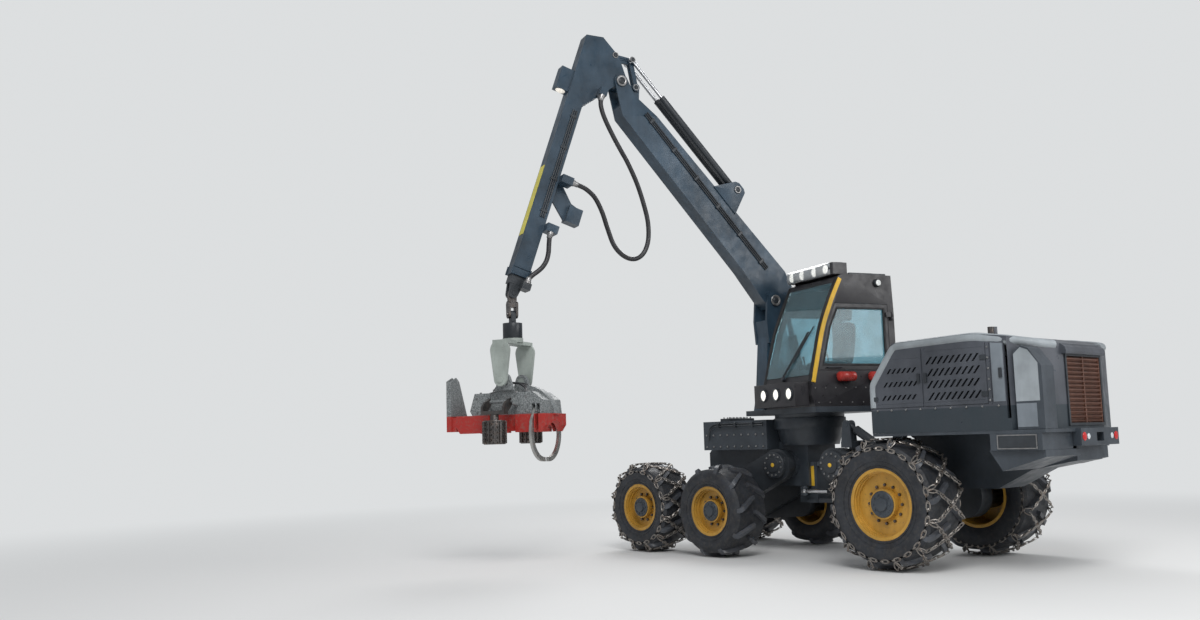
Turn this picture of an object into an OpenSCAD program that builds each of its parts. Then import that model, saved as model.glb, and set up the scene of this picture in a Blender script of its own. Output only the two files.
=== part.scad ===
// Six-wheeled forestry harvester with a jointed frame, a slewing cab and crane, and a felling head.
// X points forward, Y to the left and Z up, in millimetres, with the floor at Z = 0.
// The drawing frame has its origin on the floor below the rear axle; row_shift moves it to the
// middle of the whole machine, as it is stored.

/* [Wheels] */
// Diameter of a rear tyre over its lugs
rear_tyre_d = 1650; // [1550:5:1700]
// Width of a rear tyre
rear_tyre_w = 710; // [640:5:740]
// Distance between the middles of the rear tyres
rear_track = 2290; // [2240:5:2340]
// Diameter of a front tyre over its lugs
front_tyre_d = 1345; // [1280:5:1380]
// Width of a front tyre
front_tyre_w = 650; // [600:5:700]
// Distance between the middles of the front tyres
front_track = 2330; // [2290:5:2380]
// Diameter of the rear rim's flange
rear_rim_d = 914; // [860:2:940]
// Diameter of the front rim's flange
front_rim_d = 722; // [680:2:760]
// Height of a lug above the tread
lug_h = 42; // [30:1:50]
// Lugs on each side of a tyre
lug_count = 10; // [8:2:12]
// Width of a lug across its top
lug_w = 70; // [50:1:80]
// Thickness of the chain straps over the tread
chain_t = 18; // [12:1:24]
// Cross straps in one chain
chain_straps = 12; // [8:2:14]

/* [Axles] */
// Distance from the rear axle to the middle of the bogie
wheelbase = 3750; // [3700:10:3850]
// Distance between the two wheels of a bogie
bogie_spacing = 1500; // [1460:5:1560]
// Distance from the rear axle to the steering joint
steer_x = 1600; // [1570:5:1630]
// Distance from the rear axle to the slewing axis
slew_x = 2200; // [2170:5:2230]
// Height of the arms' pivots
arm_pivot_z = 1320; // [1300:5:1340]
// Distance from the rear axle to the rear arms' pivot
rear_pivot_x = 1240; // [1220:5:1260]
// Distance from the rear axle to the front arms' pivot
front_pivot_x = 2350; // [2330:5:2380]
// Radius of the pivot housings
pivot_r = 235; // [220:1:250]

/* [Frames] */
// Half the width of the main frame boxes
frame_half_w = 330; // [300:5:350]
// Height of the frame's underside
frame_z0 = 1000; // [980:5:1020]
// Height of the frame's top
frame_z1 = 1650; // [1620:5:1680]
// Wall of the frame boxes
frame_wall = 30; // [20:1:40]
// Radius of the steering pin
steer_pin_r = 60; // [50:1:70]
// Radius of the slewing ring
slew_ring_r = 540; // [500:5:560]
// Height of the top of the fixed slewing ring
slew_ring_z = 2005; // [1990:1:2020]

/* [Hood] */
// Half the width of the hood
hood_half_w = 1250; // [1200:5:1270]
// Thickness of the hood's walls
hood_t = 40; // [30:1:50]
// Height of the hood's lower edge
hood_z0 = 1740; // [1720:5:1760]

/* [Cab] */
// Angle of the cab and crane to the left of straight ahead
slew_rest = 72; // [60:1:80]
// Wall of the cab
cab_t = 50; // [40:1:60]
// Side of the cab next to the crane, from the slewing axis
cab_right_w = -300; // [-320:5:-290]
// Outer side of the cab, from the slewing axis
cab_left_w = 1000; // [980:5:1020]
// Thickness of the window panes
glass_t = 10; // [8:1:14]

/* [Crane] */
// Distance of the crane's plane to the right of the slewing axis
crane_w = -750; // [-760:1:-740]
// Foot pin, ahead of the slewing axis
foot_u = 170; // [150:5:190]
// Height of the foot pin
foot_z = 3870; // [3830:5:3900]
// Angle of the boom above level
boom_rest = 49; // [45:1:52]
// Length of the boom from the foot pin to the knuckle pin
boom_l = 4170; // [4100:5:4250]
// Offset of the knuckle pin above the foot pin's line
knuckle_n = 280; // [260:5:300]
// Width of the boom
boom_w = 300; // [280:5:310]
// Angle of the jib to the boom
jib_rest = -120; // [-125:1:-115]
// Distance from the knuckle pin to the end of the jib
jib_l = 3450; // [3400:5:3500]
// Offset of the jib's middle line from the knuckle pin
jib_n = 600; // [590:5:620]
// Height of the jib's section
jib_h = 270; // [250:2:280]
// Width of the jib
jib_w = 240; // [230:2:250]
// Distance from the knuckle pin to the tip pin of the extension
tip_s = 3710; // [3690:5:3740]
// Length of the knuckle's rocker
rocker_l = 420; // [400:5:430]
// Radius of the crane's pins
crane_pin_r = 40; // [35:1:45]

/* [Head] */
// Heading of the felling head, from straight ahead
head_rest = 205; // [190:1:220]

/* [Hidden] */
$fn = 64;
fit = 0.4;
seat_gap = 0.3;
run_gap = 6;
row_shift = [-1490.4, -1609.4, 0];
strap_w = 34;
rear_axle_z = rear_tyre_d / 2 + seat_gap + chain_t;
front_axle_z = front_tyre_d / 2 + seat_gap + chain_t;
mid_axle_z = front_tyre_d / 2;
mid_x = wheelbase - bogie_spacing / 2;
front_x = wheelbase + bogie_spacing / 2;
bogie_z = (front_axle_z + mid_axle_z) / 2;
bead_share = 0.43;
web_depth = 170;
web_t = 34;
hub_l = 130;
spindle_r = 70;
spindle_l = 80;
rear_hub_r = 190;
front_hub_r = 165;
hood_front = 200;
corner_x = 1750;
tail_l = 2060;
left_end = 2150;
grille_half_w = 440;
bumper_z0 = 1530;
box_z0 = 1500;
tow_pin_x = tail_l + 95;
visor_l = 55;
arm_in = 480 + seat_gap;
rear_arm_out = rear_track / 2 - rear_tyre_w / 2 - 30;
bogie_out = front_track / 2 - front_tyre_w / 2 - 25;
bogie_in = bogie_out - 155;
front_arm_out = bogie_in - 20;
bogie_pin_r = 130;
strut_head = [1030, 1880];
strut_foot = [180, 1330];
strut_l = norm(strut_head - strut_foot);
strut_y = (arm_in + rear_arm_out) / 2;
strut_pin_r = 30;
deck_z = 2145;
floor_z0 = 1700;
floor_z1 = hood_z0 - seat_gap;
neck_z0 = 840;
neck_z1 = 1265;
fork_half_w = 280;
lug_gap = 31;
lug_t = 30;

// Solid helpers: a cylinder across the machine, a plate whose outline lies in a side view,
// and the outline of a bar with two round ends
module across(r, y0, y1, x, z) {
  translate([x, y1, z]) rotate([90, 0, 0]) cylinder(r = r, h = y1 - y0);
}

module side_plate(points, y0, y1) {
  translate([0, y1, 0]) rotate([90, 0, 0]) linear_extrude(y1 - y0) polygon(points);
}

// The straight sides lie a hair inside the circles, so that they meet them at a clean corner
side_share = 0.999;

module bar_outline(p0, r0, p1, r1) {
  d = norm(p1 - p0);
  way = atan2(p1[1] - p0[1], p1[0] - p0[0]);
  open = acos((r0 - r1) / d);
  up = side_share * [cos(way + open), sin(way + open)];
  down = side_share * [cos(way - open), sin(way - open)];
  translate(p0) circle(r = r0);
  translate(p1) circle(r = r1);
  polygon([p0 + r0 * up, p0 + r0 * down, p1 + r1 * down, p1 + r1 * up]);
}

module side_bar(p0, r0, p1, r1, y0, y1) {
  translate([0, y1, 0]) rotate([90, 0, 0]) linear_extrude(y1 - y0) bar_outline(p0, r0, p1, r1);
}

module block(x0, x1, y0, y1, z0, z1) {
  translate([x0, y0, z0]) cube([x1 - x0, y1 - y0, z1 - z0]);
}

module both_sides() {
  children();
  mirror([0, 1, 0]) children();
}

module in_row() {
  translate(row_shift) children();
}

module on_turret() {
  in_row() translate([slew_x, 0, 0]) rotate([0, 0, slew_rest]) children();
}

// Wheels, drawn round the Y axis with the outer side towards +Y
// The rows of a section are [distance from the middle plane, radius]
function tyre_section(w, r, bead_r) = [
  [-w * bead_share, bead_r], [-w / 2, bead_r + (r - bead_r) * 0.45], [-w * 0.47, r - 62],
  [-w * 0.4, r], [w * 0.4, r], [w * 0.47, r - 62],
  [w / 2, bead_r + (r - bead_r) * 0.45], [w * bead_share, bead_r]];

module wheel_revolve(rows) {
  rotate([-90, 0, 0]) rotate_extrude($fn = 96) polygon([for (p = rows) [p[1], p[0]]]);
}

// A slanted bar across the top of the tread, from [x, y] to [x, y], sloping off at the shoulders
module tread_bar(from, to, wide, w, r, top) {
  half = [wide / 2, 0];
  intersection() {
    translate([0, 0, r * 0.86]) linear_extrude(top) polygon([from - half, from + half, to + half, to - half]);
    rotate([90, 0, 90]) linear_extrude(w * 2, center = true)
      polygon([[-w / 2, 0], [-w / 2, r - 70], [-w * 0.42, top], [-w * 0.42, top + 9], [w * 0.42, top + 9],
        [w * 0.42, top], [w / 2, r - 70], [w / 2, 0]]);
  }
}

module tyre(d, w, rim_d, chained) {
  r = d / 2;
  step = 360 / lug_count;
  strap_step = 360 / chain_straps;
  reach = r * tan(strap_step / 2);
  top = r + seat_gap + chain_t;
  color([0.09, 0.09, 0.1]) difference() {
    union() {
      wheel_revolve(tyre_section(w, r - lug_h, rim_d / 2));
      intersection() {
        for (i = [0 : lug_count - 1], side = [0, 1]) {
          rotate([0, (i + side / 2) * step, 0]) mirror([0, side, 0])
            tread_bar([0, -0.02 * w], [-0.3 * w, 0.47 * w], lug_w, w * 0.98, r, r);
        }
        across(r, -w, w, 0, 0);
      }
      if (chained) {
        intersection() {
          for (i = [0 : chain_straps - 1]) {
            way = i % 2 == 0 ? 1 : -1;
            rotate([0, i * strap_step, 0])
              tread_bar([-reach, -way * w / 2], [reach, way * w / 2], strap_w, w, r, top);
          }
          across(top, -w, w, 0, 0);
        }
        both_sides() wheel_revolve([[w * 0.455, r - 100], [w / 2, r - 100], [w / 2, r - 70],
          [w * 0.455, r - 70]]);
      }
    }
    wheel_revolve([[-w * 0.34, rim_d / 2 - 1], [-w * 0.42, rim_d / 2 + 60], [-w * 0.38, r - 130],
      [w * 0.38, r - 130], [w * 0.42, rim_d / 2 + 60], [w * 0.34, rim_d / 2 - 1]]);
  }
}

// The rows of a rim are [distance from the middle plane, radius]
module rim(d, w, hub_r) {
  r = d / 2 - seat_gap;
  half = w * bead_share;
  web = half - web_depth;
  color([0.75, 0.52, 0.14]) difference() {
    union() {
      wheel_revolve([
        [-half, r], [-half, r - 40], [-half + 60, r - 60], [web + 10, r - 75], [web, hub_r + 40],
        [web, 0], [web + web_t, 0], [web + web_t, hub_r], [web + web_t + 12, hub_r + 40],
        [web + 50, r - 62], [half, r - 30], [half, r]]);
      across(hub_r, web, web + hub_l, 0, 0);
    }
    across(spindle_r + fit, web - 10, web + spindle_l + 5, 0, 0);
  }
}

// Fixed hub and spindle that carry a wheel, from the arm at y0
module axle_end(x, z, track, w, hub_r, y0) {
  web = track / 2 + w * bead_share - web_depth;
  across(hub_r, y0, web - run_gap, x, z);
  across(spindle_r, y0, web + spindle_l, x, z);
}

module place_wheel(x, z, y, side) {
  in_row() translate([x, side * y, z]) mirror([0, side < 0 ? 1 : 0, 0]) children();
}

module rear_tyre(side) {
  place_wheel(0, rear_axle_z, rear_track / 2, side) tyre(rear_tyre_d, rear_tyre_w, rear_rim_d, true);
}

module mid_tyre(side) {
  place_wheel(mid_x, mid_axle_z, front_track / 2, side)
    tyre(front_tyre_d, front_tyre_w, front_rim_d, false);
}

module front_tyre(side) {
  place_wheel(front_x, front_axle_z, front_track / 2, side)
    tyre(front_tyre_d, front_tyre_w, front_rim_d, true);
}

module rear_rim(side) {
  place_wheel(0, rear_axle_z, rear_track / 2, side) rim(rear_rim_d, rear_tyre_w, rear_hub_r);
}

module mid_rim(side) {
  place_wheel(mid_x, mid_axle_z, front_track / 2, side) rim(front_rim_d, front_tyre_w, front_hub_r);
}

module front_rim(side) {
  place_wheel(front_x, front_axle_z, front_track / 2, side) rim(front_rim_d, front_tyre_w, front_hub_r);
}

// Front frame with the fork of the steering joint, the slewing pedestal and the deck
module front_frame() {
  color([0.2, 0.22, 0.25]) in_row() difference() {
    union() {
      for (z = [neck_z0 - 25 - 60, neck_z1 + 25]) {
        translate([0, 0, z]) linear_extrude(60) bar_outline([steer_x, 0], 170, [steer_x + 420, 0], 290);
      }
      translate([steer_x, 0, neck_z0 - 100]) cylinder(r = steer_pin_r, h = neck_z1 - neck_z0 + 200);
      block(steer_x + 300, steer_x + 620, -fork_half_w, fork_half_w, neck_z0 - 85, neck_z1 + 85);
      block(steer_x + 400, 3850, -frame_half_w, frame_half_w, frame_z0, frame_z1);
      block(2550, 3850, -600, 600, frame_z1 - 100, 1995);
      translate([slew_x, 0, frame_z1 - 50]) cylinder(r1 = 430, r2 = 500, h = 250);
      translate([slew_x, 0, slew_ring_z - 160]) cylinder(r = slew_ring_r, h = 160);
      across(190, -480, 480, front_pivot_x, arm_pivot_z);
      both_sides() side_plate([[3850, 1100], [3990, 1180], [3990, 1500], [3850, 1650]], -330, -290);
      block(3850, 3980, -330, 330, 1180, 1500);
    }
    for (y = [-150, 150]) {
      for (z = [1260, 1420]) {
        translate([3940, y, z]) rotate([0, 90, 0]) cylinder(r = 13, h = 60);
      }
    }
  }
  color([0.2, 0.22, 0.25]) in_row() both_sides() difference() {
    union() {
      for (z = [steer_z - lug_gap - lug_t, steer_z + lug_gap]) {
        translate([0, 0, z]) linear_extrude(lug_t) bar_outline(steer_front, 55, [2120, fork_half_w - 20], 70);
      }
      for (z = [steer_z - lug_gap - lug_t - 12, steer_z + lug_gap + lug_t - 1]) {
        translate([steer_front[0], steer_front[1], z]) cylinder(r = 32, h = 13);
      }
    }
    block(steer_x + 300, steer_x + 620, -fork_half_w, fork_half_w + seat_gap, neck_z0, neck_z1);
  }
}

module front_arms() {
  color([0.2, 0.22, 0.25]) in_row() both_sides() {
    side_bar([front_pivot_x, arm_pivot_z], pivot_r, [wheelbase, bogie_z], 240, arm_in, front_arm_out);
    across(190, front_arm_out, front_arm_out + 60, front_pivot_x, arm_pivot_z);
    across(bogie_pin_r, front_arm_out, bogie_out + 10, wheelbase, bogie_z);
  }
}

module bogies() {
  color([0.17, 0.18, 0.2]) in_row() both_sides() difference() {
    union() {
      for (end = [[mid_x, mid_axle_z], [front_x, front_axle_z]]) {
        side_bar(end, 215, [wheelbase, bogie_z], 275, bogie_in, bogie_out);
        axle_end(end[0], end[1], front_track, front_tyre_w, front_hub_r - 15, bogie_out - 15);
        across(175, bogie_out - 10, bogie_out + 12, end[0], end[1]);
      }
      across(230, bogie_out - 10, bogie_out + 15, wheelbase, bogie_z);
    }
    across(bogie_pin_r + fit, bogie_in - 60, bogie_out + 85, wheelbase, bogie_z);
  }
}

module rear_frame() {
  color([0.2, 0.22, 0.25]) in_row() difference() {
    union() {
      side_plate([[rear_pivot_x + 20, frame_z0], [rear_pivot_x + 20, frame_z1], [-tail_l, frame_z1],
        [-tail_l, 1352], [-1480, 1242], [-1000, frame_z0]], -frame_half_w, frame_half_w);
      block(rear_pivot_x, steer_x, -150, 150, neck_z0, neck_z1);
      translate([steer_x, 0, neck_z0]) cylinder(r = 150, h = neck_z1 - neck_z0);
      across(190, -480, 480, rear_pivot_x, arm_pivot_z);
      translate([0, 0, floor_z0]) linear_extrude(floor_z1 - floor_z0) polygon([[hood_front, -hood_half_w + 5],
        [hood_front, hood_half_w - 5], [-left_end, hood_half_w - 5], [-left_end, 505], [-tail_l, 505],
        [-tail_l, -450], [-corner_x, -hood_half_w + 5]]);
      block(-tail_l, 150, -frame_half_w, frame_half_w, frame_z1 - 1, floor_z1);
      both_sides() for (z = [steer_z - 60, steer_z + 30]) {
        translate([0, 0, z]) linear_extrude(30) bar_outline(steer_rear, 50, [900, 280], 70);
      }
      both_sides() block(790, 1000, 250, frame_half_w, steer_z - 60, frame_z0 + 10);
      both_sides() translate([steer_rear[0], steer_rear[1], steer_z - 72]) cylinder(r = 25, h = 144);
      both_sides() {
        for (y = [strut_y - 70, strut_y + 40]) {
          side_bar(strut_head, 58, [strut_head[0] + 10, 1640], 85, y, y + 30);
        }
        block(strut_head[0] - 80, strut_head[0] + 100, frame_half_w - 10, strut_y + 70, 1560, 1640);
        across(strut_pin_r, strut_y - 78, strut_y + 78, strut_head[0], strut_head[1]);
      }
    }
    translate([steer_x, 0, neck_z0 - 1]) cylinder(r = steer_pin_r + fit, h = neck_z1 - neck_z0 + 2);
    side_plate([[rear_pivot_x - 250, frame_z0 + frame_wall], [rear_pivot_x - 250, frame_z1 - frame_wall],
      [-tail_l + frame_wall, frame_z1 - frame_wall], [-tail_l + frame_wall, 1385], [-1480, 1272],
      [-1000, frame_z0 + frame_wall]], -frame_half_w + frame_wall, frame_half_w - frame_wall);
  }
}

module rear_arms() {
  color([0.2, 0.22, 0.25]) in_row() both_sides() {
    side_bar([rear_pivot_x, arm_pivot_z], pivot_r, [0, rear_axle_z], 300, arm_in, rear_arm_out);
    across(200, rear_arm_out - 1, rear_arm_out + 30, rear_pivot_x, arm_pivot_z);
    axle_end(0, rear_axle_z, rear_track, rear_tyre_w, rear_hub_r + 10, rear_arm_out - 10);
    for (y = [strut_y - 70, strut_y + 40]) {
      side_bar(strut_foot, 55, [strut_foot[0] - 20, 1120], 90, y, y + 30);
    }
    across(strut_pin_r, strut_y - 78, strut_y + 78, strut_foot[0], strut_foot[1]);
    translate([0, strut_y, 0]) difference() {
      union() {
        cylinder_between(strut_head, strut_foot, 62, 140, strut_l * 0.58);
        cylinder_between(strut_head, strut_foot, 34, 0, 150);
        across(52, -39, 39, strut_head[0], strut_head[1]);
      }
      across(strut_pin_r + fit, -50, 50, strut_head[0], strut_head[1]);
      cylinder_between(strut_head, strut_foot, 36 + fit, 200, strut_l);
    }
    translate([0, strut_y, 0]) difference() {
      union() {
        cylinder_between(strut_head, strut_foot, 36, 260, strut_l);
        across(52, -39, 39, strut_foot[0], strut_foot[1]);
      }
      across(strut_pin_r + fit, -50, 50, strut_foot[0], strut_foot[1]);
    }
  }
}

module engine_block() {
  color([0.3, 0.3, 0.3]) in_row()
    block(-1500, -250, -420, 420, floor_z1 + seat_gap, 2550);
}

// Outlines of the hood, t inside its skin: from the side in [x, z], and from above in [x, y]
function hood_side(t) = [
  [hood_front - t, hood_z0 - t], [hood_front - t, 2380 - t / 3], [-170 - t / 2, 2890 - t],
  [-1280, 2920 - t], [-corner_x, 2855 - t], [-tail_l + t, 2765 - t], [-tail_l + t, hood_z0 - t]];
function hood_plan(t) = [
  [hood_front + 1, -hood_half_w + t], [hood_front + 1, hood_half_w - t], [-corner_x, hood_half_w - t],
  [-corner_x - 150 + t / 2, hood_half_w - 250 - t], [-tail_l + 40 + t, 600], [-tail_l + t, 450],
  [-tail_l + t, -450], [-tail_l + 40 + t, -600], [-corner_x - 150 + t / 2, -hood_half_w + 250 + t],
  [-corner_x, -hood_half_w + t]];

module hood_form(t) {
  intersection() {
    side_plate(hood_side(t), -hood_half_w, hood_half_w);
    translate([0, 0, hood_z0 - t]) linear_extrude(1300) polygon(hood_plan(t));
  }
}

// The panels in the hood's sides, in [x, z]: the front door and the vented panel behind it
door_panel = [[120, 2110], [120, 2350], [-110, 2680], [-575, 2680], [-575, 2110]];
vent_panel = [[-595, 2110], [-595, 2750], [-1430, 2750], [-1430, 2110]];
// Rows of slots: [first x, z, count, pitch, height]
slot_rows = [
  [30, 2160, 7, 74, 62], [0, 2330, 7, 74, 62], [-60, 2500, 6, 74, 62],
  [-650, 2135, 9, 80, 92], [-640, 2285, 9, 80, 92], [-650, 2435, 9, 80, 92], [-640, 2585, 9, 80, 92]];

// An outline grown by t about its own middle, for the clearance round a panel
function low(points) = [for (k = [0, 1]) min([for (q = points) q[k]])];
function high(points) = [for (k = [0, 1]) max([for (q = points) q[k]])];
function about(points, t) = let (m = (low(points) + high(points)) / 2, h = high(points) - m)
  [for (q = points) [for (k = [0, 1]) m[k] + (q[k] - m[k]) * (1 + t / h[k])]];

module hood() {
  color([0.36, 0.38, 0.41]) in_row() {
    difference() {
      union() {
        hood_form(0);
        side_plate([[-tail_l + 20, 2640], [-tail_l + 20, 2770], [-tail_l - 40, 2725],
          [-tail_l - visor_l, 2670],
          [-tail_l - visor_l + 10, 2640]], -520, 520);
        translate([-1510, hood_half_w - 190, 2800]) cylinder(r = 30, h = 190);
      }
      hood_form(hood_t);
      both_sides() {
        for (panel = [door_panel, vent_panel]) {
          side_plate(panel, hood_half_w - hood_t - 1, hood_half_w + 1);
        }
        for (x = [-585, -1470, -1525]) {
          block(x - 5, x + 5, hood_half_w - 10, hood_half_w + 1, 2060, 2790);
        }
        block(-1470, hood_front + 1, hood_half_w - 10, hood_half_w + 1, 2055, 2065);
        block(-corner_x, -corner_x + 45, hood_half_w - 60, hood_half_w + 1, 1880, 2800);
      }
      block(-tail_l - 10, -tail_l + hood_t + 10, -grille_half_w, grille_half_w, 1800, 2620);
    }
  }
}

module vent_panels() {
  color([0.4, 0.42, 0.45]) in_row() both_sides() difference() {
    for (panel = [door_panel, vent_panel]) {
      side_plate(about(panel, -seat_gap), hood_half_w - 30, hood_half_w);
    }
    for (row = slot_rows, i = [0 : row[2] - 1]) {
      x = row[0] - i * row[3];
      side_plate([[x, row[1]], [x - 30, row[1]], [x - 30 - row[4] * 0.8, row[1] + row[4]],
        [x - row[4] * 0.8, row[1] + row[4]]], hood_half_w - 31, hood_half_w + 1);
    }
  }
}

module rear_grille() {
  inner = grille_half_w - seat_gap;
  color([0.42, 0.2, 0.14]) in_row() union() {
    for (i = [0 : 14]) {
      side_plate([[-tail_l + 30, 1812 + i * 54], [-tail_l + 38, 1800 + i * 54], [-tail_l, 1822 + i * 54],
        [-tail_l - 8, 1834 + i * 54]], -inner + 10, inner - 10);
    }
    for (y = [-inner, -10, inner - 20]) {
      block(-tail_l, -tail_l + 36, y, y + 20, 1800 + seat_gap, 2620 - seat_gap);
    }
  }
}

// Boxes under the hood's sides, and the air box that stands on the left rear corner
module side_boxes() {
  color([0.3, 0.32, 0.35]) in_row() {
    block(-left_end + 45, -1450, 510, hood_half_w - 5, box_z0, floor_z0 - seat_gap);
    mirror([0, 1, 0]) block(-corner_x, -1230, 510, hood_half_w - 5, box_z0, floor_z0 - seat_gap);
    intersection() {
      side_plate([[-1790, floor_z1 + seat_gap], [-1790, 2640], [-1900, 2730], [-2000, 2690], [-2145, 2480],
        [-2145, floor_z1 + seat_gap]], 900, 1225);
      linear_extrude(3000)
        polygon([[-1806, 1225], [-left_end + 5, 1225], [-left_end + 5, 930], [-1960, 930]]);
    }
  }
}

module bumper() {
  color([0.16, 0.17, 0.19]) in_row() {
    difference() {
      block(-tail_l - 150, -tail_l - seat_gap, -500, 500, bumper_z0, floor_z1);
      block(-tail_l - 151, -tail_l - 50, -90, 90, 1580, 1685);
      translate([-tow_pin_x, 0, bumper_z0 - 30]) cylinder(r = 25, h = 300);
    }
    side_plate([[-1400, box_z0 - seat_gap], [-1560, 1255], [-left_end + 40, 1420],
      [-left_end + 40, box_z0 - seat_gap]], frame_half_w + seat_gap, hood_half_w - 60);
    mirror([0, 1, 0]) side_plate([[-1250, box_z0 - seat_gap], [-1400, 1270], [-corner_x, 1350],
      [-corner_x, box_z0 - seat_gap]], frame_half_w + seat_gap, hood_half_w - 60);
  }
}

// Turret, in its own frame: forward, left, up from the slewing axis
module turret_base() {
  color([0.2, 0.22, 0.25]) on_turret() union() {
    translate([0, 0, slew_ring_z + seat_gap]) cylinder(r = slew_ring_r - 20, h = 60);
    block(-900, 560, -920, cab_left_w, slew_ring_z + 60, deck_z);
  }
}

module crane_pillar() {
  ear_w = boom_w / 2 + run_gap;
  color([0.22, 0.25, 0.3]) on_crane() difference() {
    union() {
      side_plate([[-520, deck_z + seat_gap], [430, deck_z + seat_gap], [380, 2400], [300, 3300],
        [330, 3560], [40, 3560], [-60, 3300], [-190, 2900], [-250, 2600], [-520, 2320]],
        -boom_w / 2, boom_w / 2);
      both_sides() side_plate([[-60, 3200], [310, 3200], [335, 3560], [foot_u + 130, foot_z + 90],
        [foot_u + 60, foot_z + 140], [foot_u - 60, foot_z + 140], [foot_u - 130, foot_z + 60],
        [20, 3560]], ear_w, ear_w + 50);
      both_sides() side_plate([[-50, 3210], [300, 3210], [325, 3555], [35, 3555]], boom_w / 2 - 1, ear_w + 1);
      across(crane_pin_r + 20, -ear_w - 70, ear_w + 70, foot_u, foot_z);
      across(30, -boom_w / 2 - 20, boom_w / 2 + 20, lift_foot[0], lift_foot[1]);
    }
    block(-700, -215, -85, 85, 2330, 3000);
  }
  color([0.22, 0.25, 0.3]) on_crane() across(30, -90, 90, lift_foot[0], lift_foot[1]);
}

// Side outline of the cab, in [forward, up]
cab_points = [
  [-880, deck_z + seat_gap], [560, deck_z + seat_gap], [620, 2330], [600, 2530], [385, 3310],
  [60, 4030], [-20, 4075],
  [-880, 4070], [-900, 3500], [-900, 2330]];
cab_inner = [
  [-830, 2230], [530, 2230], [560, 2530], [335, 3300], [20, 3990], [-830, 3990]];
door_points = [
  [-790, 2660], [480, 2660], [300, 3310], [150, 3640], [-790, 3640]];
door_window = [
  [-720, 2740], [385, 2740], [235, 3290], [110, 3570], [-720, 3570]];

hinge_at = [-840, 35];
hinge_zs = [2800, 3400];

module cab_shell() {
  color([0.13, 0.14, 0.16]) on_turret() for (z = hinge_zs) {
    translate([hinge_at[0], cab_left_w + hinge_at[1], z]) {
      cylinder(r = 20, h = 40);
      cylinder(r = 10, h = 120);
    }
    block(hinge_at[0] - 20, hinge_at[0] + 20, cab_left_w - 5, cab_left_w + hinge_at[1], z, z + 40);
  }
  color([0.13, 0.14, 0.16]) on_turret() difference() {
    side_plate(cab_points, cab_right_w, cab_left_w);
    side_plate(cab_inner, cab_right_w + cab_t, cab_left_w - cab_t);
    block(60, 800, cab_right_w + 90, cab_left_w - 90, 2600, 3950);
    block(-950, -800, cab_right_w + 90, cab_left_w - 90, 2750, 3800);
    side_plate(door_window, cab_right_w - 1, cab_right_w + cab_t + 1);
    side_plate(door_points, cab_left_w - cab_t - 1, cab_left_w + 1);
  }
}

module cab_door() {
  color([0.13, 0.14, 0.16]) on_turret() union() {
    difference() {
      side_plate([[-784, 2666], [472, 2666], [294, 3308], [146, 3634], [-784, 3634]],
        cab_left_w - cab_t, cab_left_w);
      side_plate(door_window, cab_left_w - cab_t - 1, cab_left_w + 1);
    }
    for (z = hinge_zs) {
      difference() {
        union() {
          translate([hinge_at[0], cab_left_w + hinge_at[1], z + 40.3]) cylinder(r = 20, h = 80);
          block(hinge_at[0], -735, cab_left_w + hinge_at[1] - 12, cab_left_w + hinge_at[1] + 2,
            z + 45, z + 115);
          block(-775, -735, cab_left_w - 5, cab_left_w + hinge_at[1], z + 45, z + 115);
        }
        translate([hinge_at[0], cab_left_w + hinge_at[1], z]) cylinder(r = 10 + fit, h = 200);
      }
    }
  }
}

module cab_glass() {
  color([0.5, 0.6, 0.65, 0.4]) on_turret() union() {
    block(-870, -870 + glass_t, cab_right_w + 90 + seat_gap, cab_left_w - 90 - seat_gap,
      2750 + seat_gap, 3800 - seat_gap);
    side_plate([[-719, 2741], [384, 2741], [234, 3290], [109, 3569], [-719, 3569]],
      cab_right_w + 20, cab_right_w + 20 + glass_t);
    side_plate([[592, 2601], [378, 3309], [96, 3949], [84, 3949], [366, 3309], [580, 2601]],
      cab_right_w + 90 + seat_gap, cab_left_w - 90 - seat_gap);
  }
}

module door_glass() {
  color([0.5, 0.6, 0.65, 0.4]) on_turret()
    side_plate([[-719.5, 2740.5], [384.5, 2740.5], [234.5, 3290], [109.5, 3569.5], [-719.5, 3569.5]],
      cab_left_w - 30, cab_left_w - 30 + glass_t);
}

module seat() {
  color([0.12, 0.12, 0.13]) on_turret() union() {
    block(-380, 120, 100, 600, 2700, 2820);
    side_plate([[-480, 2700], [-340, 2700], [-440, 3450], [-560, 3450]], 120, 580);
    translate([-130, 350, 2230 + seat_gap]) cylinder(r = 90, h = 480);
  }
}

module cab_lamps() {
  color([0.8, 0.8, 0.8]) on_turret() union() {
    block(-150, 100, cab_right_w + 60, cab_left_w - 60, 4075.5, 4250);
    block(620.5, 860, cab_right_w + 150, cab_left_w - 60, 2160, 2500);
  }
}

module red_bottles() {
  color([0.6, 0.08, 0.07]) on_turret() union() {
    for (u = [[-100, 200], [-700, -350]]) {
      translate([u[0], cab_left_w + 70 + seat_gap, 2570]) rotate([0, 90, 0])
        cylinder(r = 70, h = u[1] - u[0]);
    }
  }
}

// Boom, in its own frame: along the boom, across, and above, from the foot pin
knuckle = [boom_l, knuckle_n];
rocker_pin = knuckle + 293 * [cos(188 - boom_rest), sin(188 - boom_rest)];
rocker_way = 80 - boom_rest;
bracket_pin = [1700, 720];
rod_pin = rocker_pin + rocker_l * [cos(rocker_way), sin(rocker_way)];
link_pin = knuckle + rocker_l * [cos(rocker_way), sin(rocker_way)];
heel_pin = 330 * [cos(140), sin(140)];
barrel_off = 90;
ear_in = 125;

module on_boom() {
  on_turret() translate([foot_u, crane_w, foot_z]) rotate([0, -boom_rest, 0]) children();
}

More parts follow.
